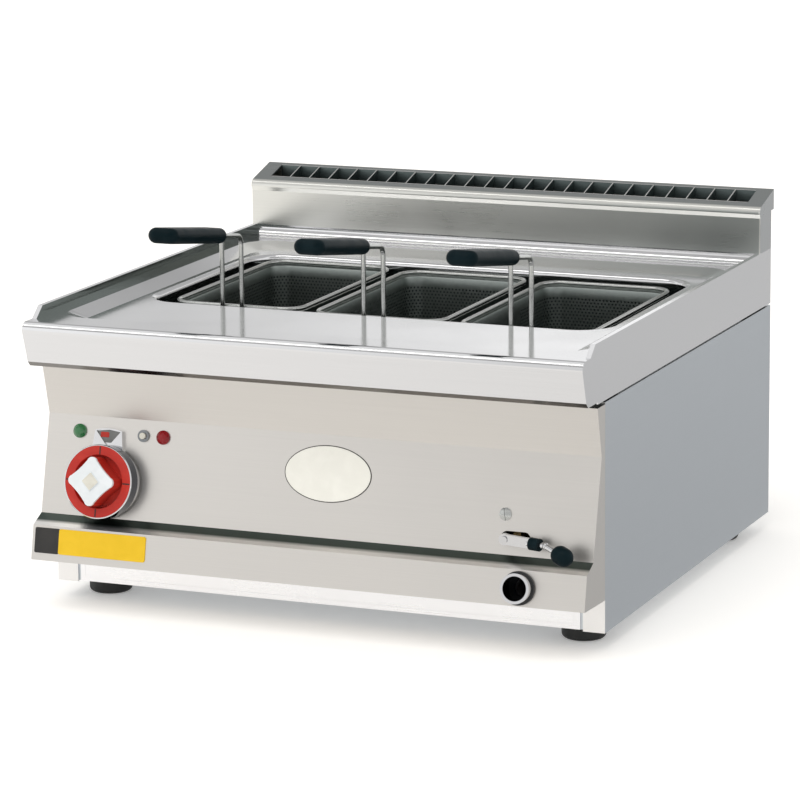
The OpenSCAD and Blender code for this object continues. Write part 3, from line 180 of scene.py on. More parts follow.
def remapped(tree, value, given=(0.0, 1.0), wanted=(0.0, 1.0)):
    """Map Range node: the given span of a value becomes the wanted one and stops at its ends."""
    node = tree.nodes.new("ShaderNodeMapRange")
    for label, number in zip(("From Min", "From Max", "To Min", "To Max"), (*given, *wanted)):
        node.inputs[label].default_value = number
    tree.links.new(value, node.inputs["Value"])
    return node.outputs["Result"]


def noise(tree, vector, **values):
    """Noise node on a linked vector, with linked or plain values on its other inputs."""
    node = tree.nodes.new("ShaderNodeTexNoise")
    tree.links.new(vector, node.inputs["Vector"])
    for label, value in values.items():
        put(tree, value, node.inputs[label])
    return node.outputs["Fac"]


def object_place(tree):
    """Object coordinates."""
    return tree.nodes.new("ShaderNodeTexCoord").outputs["Object"]


def vector_step(tree, operation, first, second, output="Vector"):
    """Vector Math node on a linked first vector and a linked or plain second one."""
    node = tree.nodes.new("ShaderNodeVectorMath")
    node.operation = operation
    tree.links.new(first, node.inputs[0])
    put(tree, second, node.inputs[1])
    return node.outputs[output]


def one_axis(tree, vector, axis):
    """One part of a vector: X, Y or Z."""
    parts = tree.nodes.new("ShaderNodeSeparateXYZ")
    tree.links.new(vector, parts.inputs[0])
    return parts.outputs[axis]


print("node helpers ready")

# %% [markdown]
# ## Finishes
# Stainless sheet is ground with a belt, which leaves long fine scratches in one direction. In a
# material that is a noise stretched along the belt's direction: it changes the tone a little, the
# roughness more, and the height by a few micrometres. Hands and cloths add faint large smears.
# Both effects serve several materials, so each is a node group that puts out values only.

# %% Node groups for grain and smears
MIDDLE = 0.5
SMEAR_SPAN = (0.42, 0.72)


def new_group(name, setting, outputs):
    """Empty shader node group with a vector, one float setting and float outputs."""
    group = bpy.data.node_groups.new(name, "ShaderNodeTree")
    group.interface.new_socket("Vector", in_out="INPUT", socket_type="NodeSocketVector")
    group.interface.new_socket(setting, in_out="INPUT", socket_type="NodeSocketFloat")
    for label in outputs:
        group.interface.new_socket(label, in_out="OUTPUT", socket_type="NodeSocketFloat")
    given = group.nodes.new("NodeGroupInput").outputs
    return group, given, group.nodes.new("NodeGroupOutput").inputs


belt_grain, given, result = new_group("belt_grain", "Contrast", ["Tone", "Height"])
grain = noise(belt_grain, given["Vector"], Scale=1.0, Detail=4.0, Roughness=0.65)
swing = maths(belt_grain, "SUBTRACT", grain, MIDDLE)
swing = maths(belt_grain, "MULTIPLY", swing, given["Contrast"])
belt_grain.links.new(maths(belt_grain, "ADD", swing, MIDDLE, clamp=True), result["Tone"])
belt_grain.links.new(grain, result["Height"])

hand_smear, given, result = new_group("hand_smear", "Scale", ["Mask"])
cloud = noise(hand_smear, given["Vector"], Scale=given["Scale"], Detail=3.0, Distortion=0.6)
hand_smear.links.new(remapped(hand_smear, cloud, given=SMEAR_SPAN), result["Mask"])
print("groups:", [g.name for g in bpy.data.node_groups])

# %% [markdown]
# A material here is a Principled shader plus a short chain: object coordinates, a Mapping that
# stretches them along the belt, the grain group, and three uses of its tone. A metal keeps its
# Metallic value on the shader's own socket, because it is the same all over.

# %% Metal and plastic recipes
SMEARS_ON_STEEL, SMEARS_ON_PLASTIC = 9.0, 60.0
SMEAR_ROUGH = 0.05
SCRATCH_DEPTH = 0.00004
COAT_ROUGH = 0.08


def blank(name):
    """New node material with its Principled shader."""
    finish = bpy.data.materials.new(name)
    finish.use_nodes = True
    return finish, finish.node_tree, finish.node_tree.nodes["Principled BSDF"]


def placed_group(tree, group, vector, **values):
    """Outputs of a group node with a linked vector and plain values on its other inputs."""
    node = tree.nodes.new("ShaderNodeGroup")
    node.node_tree = group
    tree.links.new(vector, node.inputs["Vector"])
    for label, value in values.items():
        node.inputs[label].default_value = value
    return node.outputs


def two_tones(tree, factor, low, high):
    """Mix node between two colours by a value that changes over the surface."""
    mix = tree.nodes.new("ShaderNodeMix")
    mix.data_type = "RGBA"
    mix.inputs["A"].default_value, mix.inputs["B"].default_value = (*low, 1.0), (*high, 1.0)
    tree.links.new(factor, mix.inputs["Factor"])
    return mix.outputs["Result"]


def bumped(tree, shader, height, strength, distance):
    """Bump node from a height to the shader's normal."""
    bump = tree.nodes.new("ShaderNodeBump")
    bump.inputs["Strength"].default_value = strength
    bump.inputs["Distance"].default_value = distance
    tree.links.new(height, bump.inputs["Height"])
    tree.links.new(bump.outputs["Normal"], shader.inputs["Normal"])


def ground_steel(name, low, high, rough, belt, contrast=1.6, bump=0.25):
    """Belt-ground steel. belt is the stretch of the grain along x, y and z, per metre."""
    finish, tree, shader = blank(name)
    coords = object_place(tree)
    stretch = tree.nodes.new("ShaderNodeMapping")
    stretch.inputs["Scale"].default_value = belt
    tree.links.new(coords, stretch.inputs["Vector"])
    grain = placed_group(tree, belt_grain, stretch.outputs["Vector"], Contrast=contrast)
    hands = placed_group(tree, hand_smear, coords, Scale=SMEARS_ON_STEEL)
    shader.inputs["Metallic"].default_value = 1.0
    tree.links.new(two_tones(tree, grain["Tone"], low, high), shader.inputs["Base Color"])
    scratched = remapped(tree, grain["Tone"], wanted=rough)
    smeared = remapped(tree, hands["Mask"], wanted=(0.0, SMEAR_ROUGH))
    tree.links.new(maths(tree, "ADD", scratched, smeared), shader.inputs["Roughness"])
    bumped(tree, shader, grain["Height"], bump, SCRATCH_DEPTH)
    return finish


def moulded(name, low, high, rough, scale, bump, depth=0.0001, coat=0.0, shine=0.5):
    """Moulded plastic or rubber: a fine pebble in height and a faint change of tone."""
    finish, tree, shader = blank(name)
    coords = object_place(tree)
    pebble = noise(tree, coords, Scale=scale, Detail=2.0)
    hands = placed_group(tree, hand_smear, coords, Scale=SMEARS_ON_PLASTIC)
    tree.links.new(two_tones(tree, hands["Mask"], low, high), shader.inputs["Base Color"])
    tree.links.new(remapped(tree, hands["Mask"], wanted=rough), shader.inputs["Roughness"])
    shader.inputs["Specular IOR Level"].default_value = shine
    shader.inputs["Coat Weight"].default_value = coat
    shader.inputs["Coat Roughness"].default_value = COAT_ROUGH
    bumped(tree, shader, pebble, bump, depth)
    return finish


print("recipes ready")

# %% [markdown]
# The steels come first, each with its two tones, its span of roughness and its belt. Sheets are
# ground along x or y. Wires, castings and turned pieces have an even grain of one pitch.

# %% Steels
ALONG_X, ALONG_Y = (6.0, 900.0, 900.0), (900.0, 6.0, 900.0)


def even(pitch):
    """The same grain along all three axes."""
    return (pitch, pitch, pitch)


panel_steel = ground_steel("panel_steel", (0.655, 0.63, 0.598), (0.717, 0.692, 0.657),
                           (0.26, 0.36), ALONG_X, contrast=0.8, bump=0.12)
plinth_steel = ground_steel("plinth_steel", (0.86, 0.86, 0.875), (0.92, 0.92, 0.935),
                            (0.22, 0.32), ALONG_X, contrast=0.8, bump=0.10)
deck_steel = ground_steel("deck_steel", (0.76, 0.76, 0.77), (0.84, 0.84, 0.85),
                          (0.08, 0.14), ALONG_X, contrast=0.8, bump=0.03)
side_steel = ground_steel("side_steel", (0.55, 0.585, 0.615), (0.62, 0.655, 0.69),
                          (0.28, 0.40), ALONG_Y, contrast=0.8, bump=0.12)
flue_steel = ground_steel("flue_steel", (0.70, 0.70, 0.665), (0.80, 0.80, 0.76),
                          (0.24, 0.32), ALONG_X, contrast=0.9, bump=0.12)
fin_steel = ground_steel("fin_steel", (0.13, 0.165, 0.165), (0.19, 0.225, 0.225),
                         (0.30, 0.42), ALONG_Y)
baffle_steel = ground_steel("baffle_steel", (0.11, 0.14, 0.14), (0.16, 0.19, 0.19),
                            (0.26, 0.38), ALONG_X)
tank_steel = ground_steel("tank_steel", (0.13, 0.16, 0.155), (0.19, 0.22, 0.215),
                          (0.22, 0.34), ALONG_X)
basket_steel = ground_steel("basket_steel", (0.30, 0.335, 0.32), (0.37, 0.40, 0.385),
                            (0.28, 0.40), even(200.0))
wire_steel = ground_steel("wire_steel", (0.46, 0.47, 0.455), (0.56, 0.57, 0.555),
                          (0.12, 0.20), even(300.0), bump=0.1)
ring_steel = ground_steel("ring_steel", (0.20, 0.21, 0.22), (0.27, 0.28, 0.29),
                          (0.26, 0.36), even(300.0), bump=0.1)
bright_chrome = ground_steel("bright_chrome", (0.66, 0.66, 0.67), (0.72, 0.72, 0.73),
                             (0.05, 0.10), even(120.0), contrast=1.0, bump=0.03)
hidden_steel = ground_steel("hidden_steel", (0.44, 0.44, 0.44), (0.54, 0.54, 0.54),
                            (0.34, 0.46), even(60.0), bump=0.1)
element_steel = ground_steel("element_steel", (0.16, 0.15, 0.14), (0.26, 0.24, 0.22),
                             (0.36, 0.5), even(90.0), bump=0.1)
valve_brass = ground_steel("valve_brass", (0.20, 0.14, 0.06), (0.28, 0.20, 0.09),
                           (0.24, 0.36), even(150.0), bump=0.1)
print("steels:", len(bpy.data.materials))

# %% [markdown]
# Plastics, rubber, enamel and print follow, each with its two tones, its span of roughness, the
# scale of its pebble and how strongly that pebble shows.

# %% Plastics, rubber and print
grip_black = moulded("grip_black", (0.003, 0.010, 0.013), (0.006, 0.015, 0.019), (0.34, 0.46),
                     1600.0, 0.12, shine=0.05)
foot_rubber = moulded("foot_rubber", (0.012, 0.013, 0.012), (0.02, 0.02, 0.02), (0.55, 0.75),
                      1200.0, 0.25, depth=0.0002)
flange_black = moulded("flange_black", (0.010, 0.011, 0.012), (0.016, 0.017, 0.018), (0.4, 0.55),
                       1500.0, 0.15)
dial_red = moulded("dial_red", (0.50, 0.026, 0.016), (0.56, 0.036, 0.022), (0.30, 0.42),
                   900.0, 0.05, shine=0.3)
handle_white = moulded("handle_white", (0.77, 0.81, 0.835), (0.83, 0.87, 0.895), (0.30, 0.42),
                       900.0, 0.05, coat=0.2)
button_ivory = moulded("button_ivory", (0.66, 0.64, 0.56), (0.74, 0.72, 0.64), (0.3, 0.45),
                       1200.0, 0.05)
switch_plastic = moulded("switch_plastic", (0.55, 0.55, 0.53), (0.62, 0.62, 0.60), (0.45, 0.6),
                         800.0, 0.1)
lens_green = moulded("lens_green", (0.020, 0.16, 0.045), (0.030, 0.21, 0.060), (0.14, 0.22),
                     500.0, 0.05, depth=0.0002, coat=0.6)
lens_red = moulded("lens_red", (0.20, 0.003, 0.007), (0.30, 0.007, 0.011), (0.10, 0.18),
                   500.0, 0.05, depth=0.0002, coat=0.2, shine=0.3)
enamel_white = moulded("enamel_white", (0.88, 0.87, 0.80), (0.92, 0.91, 0.84), (0.18, 0.26),
                       400.0, 0.02, coat=0.4)
print_dark = moulded("print_dark", (0.015, 0.014, 0.013), (0.024, 0.022, 0.02), (0.35, 0.5),
                     600.0, 0.02)
field_grey = moulded("field_grey", (0.16, 0.165, 0.16), (0.22, 0.225, 0.22), (0.35, 0.5),
                     600.0, 0.02)
badge_yellow = moulded("badge_yellow", (0.83, 0.53, 0.018), (0.87, 0.56, 0.022), (0.30, 0.40),
                       400.0, 0.02, shine=0.2)
print("finishes:", len(bpy.data.materials))

# %% [markdown]
# ## Painted light and shade on one solid
# Some pieces carry painted light and shade as a second colour on one solid: painted shade in the
# drain outlet's bore and under the worktop's nose, painted dark reflections on the back of the
# ledge under the slope, the worktop's left rim's inner side, the flue's top and ends, the right of
# the splashback and the dial's side under its bright rim, and painted highlights on the ledge's
# upward faces, the fins' edges and the posts. Each could be cut into two nodes, but a mask keeps
# the solid whole: a value worked out from the place of a point, or from the way its face looks,
# mixes a second colour into the first.

# %% Masks and a second colour


def second_colour(finish, name, colour, mask):
    """Copy of a finish with a second base colour. mask takes the copy's tree and its object
    coordinates and gives the mixing value: 0 keeps the first colour, 1 shows the second."""
    copy = finish.copy()
    copy.name = name
    tree = copy.node_tree
    base = tree.nodes["Principled BSDF"].inputs["Base Color"]
    mix = tree.nodes.new("ShaderNodeMix")
    mix.data_type = "RGBA"
    tree.links.new(base.links[0].from_socket, mix.inputs["A"])
    mix.inputs["B"].default_value = (*colour, 1.0)
    tree.links.new(mask(tree, object_place(tree)), mix.inputs["Factor"])
    tree.links.new(mix.outputs["Result"], base)
    return copy


def facing(tree, axis, low, high):
    """Mask of the faces that look along an axis: 0 where the normal's part is low, 1 at high."""
    normal = tree.nodes.new("ShaderNodeNewGeometry").outputs["Normal"]
    return remapped(tree, one_axis(tree, normal, axis), given=(low, high))


def placed_from(tree, coords, axis, low, high):
    """Mask by place along an axis: 0 at low and 1 at high, both in cabinet millimetres."""
    shift = SHIFT["XYZ".index(axis)]
    span = (low / 1000.0 + shift, high / 1000.0 + shift)
    return remapped(tree, one_axis(tree, coords, axis), given=span)


def looks(axis, low, high):
    """Mask for second_colour by the way a face looks alone."""
    return lambda tree, coords: facing(tree, axis, low, high)


print("masks ready")

# %% [markdown]
# The front has two tilted faces, the slope with the knob and the lip with the outlet. Each is
# known by a point on its top edge and its tilt, which give the directions up and out of the face.

# %% Painted light and shade as second colours
SLOPE = (np.array([0.0, -10.0, 179.5]), math.atan(23.5 / 99.9))
LIP = (np.array([0.0, -52.0, 71.0]), math.atan(7.0 / 35.2))
OUTLET_X, OUTLET_DOWN, BORE_R = 231.0, 18.0, 12.2
LEDGE_LOOK, LEDGE_DARK = (0.55, 0.80), (-47.8, -43.2)
RIM_FOOT, RIM_FADE, RIM_LOOK = 283.0, 0.8, (0.5, 0.8)
SPLASH_SHADE, SPLASH_LOOK = (-150.0, 250.0), (-0.93, -0.99)
DIAL_Z, DIAL_EDGE, DIAL_FADE = 20.5, 1.2, 0.3


def face_directions(face):
    """Directions up along a tilted front face and straight out of it."""
    tilt = face[1]
    return (np.array([0.0, math.sin(tilt), math.cos(tilt)]),
            np.array([0.0, -math.cos(tilt), math.sin(tilt)]))


def bore_shade_mask(tree, coords):
    """1 in the outlet's bore, where shade is painted: the distance from its axis is what is left
    of the way from its middle once the part along the axis is taken off."""
    up_lip, out_lip = face_directions(LIP)
    middle = LIP[0] + [OUTLET_X, 0.0, 0.0] - OUTLET_DOWN * up_lip
    centred = vector_step(tree, "SUBTRACT", coords, to_metres(middle))
    along_axis = vector_step(tree, "PROJECT", centred, out_lip)
    across_axis = vector_step(tree, "SUBTRACT", centred, along_axis)
    reach = vector_step(tree, "LENGTH", across_axis, (0.0, 0.0, 0.0), "Value")
    return remapped(tree, reach, given=((BORE_R + 0.2) * MM, (BORE_R - 0.1) * MM))


def ledge_dark_reflection_mask(tree, coords):
    """1 on the back of the ledge, where it looks up and a dark reflection is painted."""
    return maths(tree, "MULTIPLY", placed_from(tree, coords, "Y", *LEDGE_DARK),
                 facing(tree, "Z", *LEDGE_LOOK))


def rim_dark_reflection_mask(tree, coords):
    """1 on the left rim's inner side, above its foot, where a dark reflection is painted."""
    left = maths(tree, "MULTIPLY", facing(tree, "X", *RIM_LOOK),
                 placed_from(tree, coords, "X", 0.0, -1.0))
    return maths(tree, "MULTIPLY", left,
                 placed_from(tree, coords, "Z", RIM_FOOT - RIM_FADE, RIM_FOOT))


def splash_dark_reflection_mask(tree, coords):
    """Rises to 1 towards the right of the splashback's upright face, where a darker reflection is
    painted.
    """
    return maths(tree, "MULTIPLY", placed_from(tree, coords, "X", *SPLASH_SHADE),
                 facing(tree, "Y", *SPLASH_LOOK))


def dial_dark_reflection_mask(tree, coords):
    """1 on the dial's side below its bright edge, where a dark reflection is painted: height is
    measured out from the slope.
    """
    above = vector_step(tree, "SUBTRACT", coords, to_metres(SLOPE[0]))
    height = vector_step(tree, "DOT_PRODUCT", above, face_directions(SLOPE)[1], "Value")
    edge = DIAL_Z - DIAL_EDGE
    return remapped(tree, height, given=((edge + DIAL_FADE) * MM, (edge - DIAL_FADE) * MM))


# Painted shade: the outlet's bore is coloured near black.
chrome_painted_bore_shade = second_colour(bright_chrome, "chrome_painted_bore_shade", (0.012, 0.013, 0.014), bore_shade_mask)
# Painted highlight: the ledge's upward faces are coloured pale.
ledge_painted_highlight = second_colour(panel_steel, "ledge_painted_highlight", (0.95, 0.93, 0.90),
                            looks("Z", *LEDGE_LOOK))
# Painted reflection: the back of the ledge is coloured dark.
panel_painted_ledge_reflections = second_colour(ledge_painted_highlight, "panel_painted_ledge_reflections", (0.075, 0.095, 0.085), ledge_dark_reflection_mask)
# Painted reflection: the left rim's inner side is coloured dark.
deck_painted_rim_reflection = second_colour(deck_steel, "deck_painted_rim_reflection", (0.105, 0.125, 0.115), rim_dark_reflection_mask)
# Painted shade: the worktop's faces that look down, under the front nose, are coloured dark.
worktop_painted_shade_and_reflection = second_colour(deck_painted_rim_reflection, "worktop_painted_shade_and_reflection", (0.20, 0.19, 0.18),
                              looks("Z", -0.35, -0.6))
# Painted highlight: the fins' upward edges are coloured pale over their dark sides.
fins_painted_highlight = second_colour(fin_steel, "fins_painted_highlight", (0.80, 0.80, 0.78), looks("Z", 0.75, 0.9))
# Painted reflection: the flue's upward top faces are coloured darker than its front.
flue_painted_dark_top = second_colour(flue_steel, "flue_painted_dark_top", (0.36, 0.38, 0.375),
                               looks("Z", 0.90, 0.955))
# Painted reflection: the splashback's face darkens towards the right.
splash_painted_dark_right = second_colour(flue_painted_dark_top, "splash_painted_dark_right", (0.40, 0.42, 0.405), splash_dark_reflection_mask)
# Painted reflection: flue end faces that look right are coloured darker than the front.
flue_end_painted_reflection = second_colour(flue_painted_dark_top, "flue_end_painted_reflection", (0.49, 0.505, 0.51),
                               looks("X", 0.6, 0.9))
# Painted highlight: the side panels' front-facing posts are coloured paler than the side sheets.
side_painted_bright_posts = second_colour(side_steel, "side_painted_bright_posts", (0.84, 0.83, 0.82), looks("Y", -0.6, -0.9))
# Painted reflection: the dial's chrome side below its rim is coloured dark.
dial_painted_dark_side = second_colour(bright_chrome, "dial_painted_dark_side", (0.075, 0.08, 0.095), dial_dark_reflection_mask)
print("slope leans", round(math.degrees(SLOPE[1]), 2), "degrees; finishes:",
      len(bpy.data.materials))

# %% [markdown]
# The solid nodes keep their shapes and only change their finish, so each node's material slots are
# handed the finish that the real piece has, some with painted light and shade mixed in.

# %% Finishes for the solid nodes
SIDES = ("left", "middle", "right")
wears = {
    panel_painted_ledge_reflections: ["control_panel"],
    plinth_steel: ["plinth_strip"],
    worktop_painted_shade_and_reflection: ["worktop"],
    side_painted_bright_posts: ["left_side_panel", "right_side_panel"],
    side_steel: ["rear_panel", "base_pan"],
    hidden_steel: ["left_top_rail", "right_top_rail", "front_top_rail", "foot_nuts", "drain_pipe",
                   "outlet_pipe", "valve_ball", "element_plate"],
    splash_painted_dark_right: ["splash_front"],
    flue_painted_dark_top: ["splash_rear"],
    flue_end_painted_reflection: ["left_flue_end", "right_flue_end"],
    fins_painted_highlight: ["flue_grille"],
    baffle_steel: ["flue_baffle"],
    tank_steel: ["tank", "false_bottom"],
    basket_steel: [f"{side}_basket_body" for side in SIDES],
    wire_steel: [f"{side}_basket_{part}" for side in SIDES for part in ("rim", "handle")],
    bright_chrome: ["knob_bezel", "drain_lever", "valve_stem", "selector_shaft"],
    dial_painted_dark_side: ["knob_dial"],
    chrome_painted_bore_shade: ["drain_outlet"],
    ring_steel: ["safety_thermostat"],
    element_steel: ["heating_elements", "thermostat_bulb"],
    valve_brass: ["valve_body"],
    grip_black: ["lever_grip"] + [f"{side}_basket_grip" for side in SIDES],
    foot_rubber: ["front_left_foot", "front_right_foot", "rear_left_foot", "rear_right_foot"],
    flange_black: ["outlet_flange", "cable_gland"],
    dial_red: ["knob_handle"],
    handle_white: ["knob_cap"],
    button_ivory: ["reset_button"],
    switch_plastic: ["selector_switch", "lamp_holders", "terminal_block"],
    lens_green: ["green_lens"],
    lens_red: ["red_lens"],
}
for finish, names in wears.items():
    for name in names:
        nodes[name].data.materials.clear()
        nodes[name].data.materials.append(finish)
missing = set(nodes) - {name for names in wears.values() for name in names}
print("nodes without a finish:", sorted(missing))

# %% [markdown]
# ## Perforated basket walls
# A pasta basket is pressed from sheet with a staggered pattern of two-millimetre holes. The pattern
# could be painted, but then no light would pass and the edge would look flat, so the holes are cut.
# The wall is unrolled: one coordinate runs round the basket and one runs up. Rows of bricks cover
# that strip, each row moved by half a brick, and every brick has a hexagonal hole in its middle.
# A brick's four corners and the two middles of its long edges pair with the hole's six corners, so
# six quads close it, and neighbours share their points.

# %% Outline and lattice
BASKET_Y, BASKET_PITCH = (282.0, 271.0, 263.0), 164.5
WALL_W, WALL_L, WALL_R = 135.0, 251.0, 17.5
FLOOR_Z, FLANGE_Z = 138.7, 266.5
HOLE_PITCH, HOLE_R, ROW_SHARE = 4.0, 1.2, 0.866
PLAIN_LOW, PLAIN_TOP = 14.0, 11.0
ARC_STEPS = 60


def rounded_outline(width, length, radius, count):
    """Points and outward directions at equal steps round a rectangle with round corners.
    The corner arcs are drawn finely, and the steps are then read off along the running length."""
    turn = np.linspace(0, np.pi / 2, ARC_STEPS)
    start = np.arange(4.0)[:, None] * np.pi / 2
    angle = (start + turn).ravel()
    signs = np.repeat([[1, 1], [-1, 1], [-1, -1], [1, -1]], ARC_STEPS, axis=0)
    centre = signs * [width / 2 - radius, length / 2 - radius]
    outward = np.stack([np.cos(angle), np.sin(angle)], 1)
    line = centre + radius * outward
    line, outward = np.vstack([line, line[:1]]), np.vstack([outward, outward[:1]])
    run = np.concatenate([[0], np.cumsum(np.linalg.norm(np.diff(line, axis=0), axis=1))])
    steps = np.linspace(0, run[-1], count, endpoint=False)
    spot = np.stack([np.interp(steps, run, line[:, k]) for k in (0, 1)], 1)
    out = np.stack([np.interp(steps, run, outward[:, k]) for k in (0, 1)], 1)
    return spot, out / np.linalg.norm(out, axis=1, keepdims=True), run[-1]


def brick_lattice(rows, bricks, wrap):
    """Faces of rows x bricks with a hexagonal hole each. Frame points come first, row by row at
    half-brick steps, then six hole points a brick. An unwrapped lattice leaves out the last brick
    of its odd rows, whose half bricks at both ends stay closed by plain quads."""
    across = 2 * bricks if wrap else 2 * bricks + 1
    row, brick = (a.ravel() for a in np.meshgrid(np.arange(rows), np.arange(bricks),
                                                 indexing="ij"))
    whole = np.ones(len(row), bool) if wrap else (row % 2 == 0) | (brick < bricks - 1)
    row, brick = row[whole], brick[whole]
    k = 2 * brick + row % 2
    low = [row * across + (k + d) % across for d in (0, 1, 2)]
    high = [(row + 1) * across + (k + d) % across for d in (2, 1, 0)]
    frame_ids = np.stack(low + high, 1)
    hole_ids = (rows + 1) * across + 6 * np.arange(len(row))[:, None] + np.arange(6)
    after = np.roll(np.arange(6), -1)
    quads = np.stack([frame_ids, frame_ids[:, after], hole_ids[:, after], hole_ids], 2)
    quads = quads.reshape(-1, 4)
    if not wrap:
        odd = np.arange(1, rows, 2)
        for first in (0, across - 2):
            a = odd * across + first
            quads = np.vstack([quads, np.stack([a, a + 1, a + 1 + across, a + across], 1)])
    return quads, row, brick, across


def lattice_points(rows, bricks, step, rise, wrap):
    """Flat positions (along, up) of the lattice's frame points and hole points."""
    quads, row, brick, across = brick_lattice(rows, bricks, wrap)
    height, along = np.meshgrid(np.arange(rows + 1) * rise, np.arange(across) * step / 2,
                                indexing="ij")
    frame_points = np.stack([along.ravel(), height.ravel()], 1)
    centre = np.stack([(brick + 0.5 + 0.5 * (row % 2)) * step, (row + 0.5) * rise], 1)
    turn = np.radians([210, 270, 330, 30, 90, 150])
    ring = HOLE_R * np.stack([np.cos(turn), np.sin(turn)], 1)
    return np.vstack([frame_points, (centre[:, None] + ring).reshape(-1, 2)]), quads


_, _, girth = rounded_outline(WALL_W, WALL_L, WALL_R, 100)
bricks_round = int(round(girth / HOLE_PITCH))
step_round = girth / bricks_round
wall_low, wall_high = FLOOR_Z + PLAIN_LOW, FLANGE_Z - PLAIN_TOP
wall_rows = int((wall_high - wall_low) / (HOLE_PITCH * ROW_SHARE))
wall_rise = (wall_high - wall_low) / wall_rows
print("holes round:", bricks_round, "rows:", wall_rows, "girth:", round(girth, 1), "mm")

# %% [markdown]
# The strip is then rolled up: a point's place along the strip gives its place on the outline, and
# its height stays. Above the holes a plain band turns outwards into the flange under the rim wire,
# and below them a rounded edge leads into the floor, which has its own flat lattice.

# %% Baskets
FLOOR_R, FLOOR_EDGE, FLOOR_MARGIN = 9.5, 13.0, 14.0
FLANGE_BAND = np.array([[5.4, FLANGE_Z], [2.0, FLANGE_Z], [0.6, FLANGE_Z - 0.5],
                        [0.0, FLANGE_Z - 2.0], [0.0, wall_high]])
bend = np.linspace(0, np.pi / 2, 7)
FLOOR_BAND = np.vstack([[[0.0, wall_low]],
                        np.stack([FLOOR_R * (np.cos(bend) - 1),
                                  FLOOR_Z + FLOOR_R * (1 - np.sin(bend))], 1),
                        [[-FLOOR_EDGE, FLOOR_Z]]])


def basket_walls(name, body, middle):
    """One perforated basket: rolled lattice, swept top and bottom bands (each a row of out, up
    pairs carried round the outline), and a flat lattice for the floor."""
    flat, quads = lattice_points(wall_rows, bricks_round, step_round, wall_rise, True)
    around = 2 * bricks_round
    outline, outward, _ = rounded_outline(WALL_W, WALL_L, WALL_R, around)
    steps = np.arange(around + 1) * step_round / 2
    loop = np.vstack([outline, outline[:1]])
    along = np.mod(flat[:, 0], girth)
    rolled = np.stack([np.interp(along, steps, loop[:, 0]), np.interp(along, steps, loop[:, 1]),
                       wall_low + flat[:, 1]], 1)
    points, tables, count = [rolled], [quads], len(rolled)
    for band in (FLANGE_BAND, FLOOR_BAND):
        ring = outline[None] + band[:, :1, None] * outward[None]
        heights = np.repeat(band[:, 1:], around, axis=1)[..., None]
        points.append(np.concatenate([ring, heights], 2).reshape(-1, 3))
        tables.append(grid_faces(len(band), around, wrap_columns=True, first=count)[:, ::-1])
        count += len(points[-1])
    edge = points[-1][-around:]
    half = np.array([WALL_W / 2 - FLOOR_MARGIN, WALL_L / 2 - FLOOR_MARGIN])
    across = int(2 * half[0] / HOLE_PITCH)
    rows = int(2 * half[1] / (HOLE_PITCH * ROW_SHARE))
    floor, floor_quads = lattice_points(rows, across, 2 * half[0] / across, 2 * half[1] / rows,
                                        False)
    points.append(np.column_stack([floor - half, np.full(len(floor), FLOOR_Z)]))
    tables.append(floor_quads[:, ::-1] + count)
    count += len(floor)
    inner = np.column_stack([np.clip(edge[:, :2], -half, half), np.full(around, FLOOR_Z)])
    points.append(np.vstack([edge, inner]))
    tables.append(grid_faces(2, around, wrap_columns=True, first=count)[:, ::-1])
    placed = np.vstack(points) + [*middle, 0.0]
    return surface(name, placed, tables, basket_steel, body)


for k, side in enumerate(SIDES):
    middle = ((k - 1) * BASKET_PITCH, BASKET_Y[k])
    piece = basket_walls(f"{side}_basket_walls", f"{side}_basket", middle)
    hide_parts(f"{side}_basket_body")
print("triangles in one basket:", sum(len(p.vertices) - 2 for p in piece.data.polygons))

# %% [markdown]
# ## Small pieces on the front
# A thin plate, a printed mark and a badge plate are all the same form: an outline carried up a
# short edge, over a bevel and in to the middle. The front has two tilted faces to carry them, so a
# small frame turns "across, up the face, out of the face" into cabinet millimetres.

# %% Plates on the faces of the front


def on_face(face, spot, local):
    """Local points (across, up, out) on a tilted front face: start at its top edge, go across
    and down the face to the spot, then add each local coordinate along its own direction."""
    up_face, out_face = face_directions(face)
    across, down = spot
    start = face[0] + np.array([across, 0.0, 0.0]) - down * up_face
    local = np.asarray(local, float)
    return (start + local[:, :1] * [1.0, 0.0, 0.0] + local[:, 1:2] * up_face
            + local[:, 2:] * out_face)


def turned(points, angle):
    """Local points turned counter-clockwise about the direction out of the face."""
    c, s = math.cos(angle), math.sin(angle)
    return np.column_stack([points[:, :2] @ np.array([[c, s], [-s, c]]), points[:, 2:]])


def plate(outline, thickness, bevel, lift):
    """Points and faces of a closed plate: the outline's ring at the bottom, at the top of the edge
    and drawn in by the bevel, with both ends collapsed to the middle."""
    size = np.linalg.norm(outline, axis=1, keepdims=True)
    drawn = outline * (1 - bevel / size)
    rings = [(outline * 0, 0.0), (outline, 0.0), (outline, thickness - bevel), (drawn, thickness),
             (outline * 0, thickness)]
    points = np.vstack([np.column_stack([r, np.full(len(r), z + lift)]) for r, z in rings])
    return points, [grid_faces(len(rings), len(outline), wrap_columns=True)]


def plate_on(name, face, spot, outline, thickness, bevel, finish, body="cabinet", lift=0.0,
             offset=(0.0, 0.0), turn=0.0):
    """Plate piece on one of the front's faces, moved by the offset and then turned."""
    points, tables = plate(outline, thickness, bevel, lift)
    points[:, :2] += offset
    placed = on_face(face, spot, turned(points, turn))
    return surface(name, placed, tables, finish, body)


def ellipse(width, height, count=96):
    """Points of an ellipse, counter-clockwise."""
    turn = np.linspace(0, 2 * np.pi, count, endpoint=False)
    return np.stack([width / 2 * np.cos(turn), height / 2 * np.sin(turn)], 1)


def bar(width, length, radius, count=48):
    """Points of a rectangle with round corners."""
    return rounded_outline(width, length, radius, count)[0]


print("a bar of 48 points:", bar(10.0, 4.0, 1.0).shape)

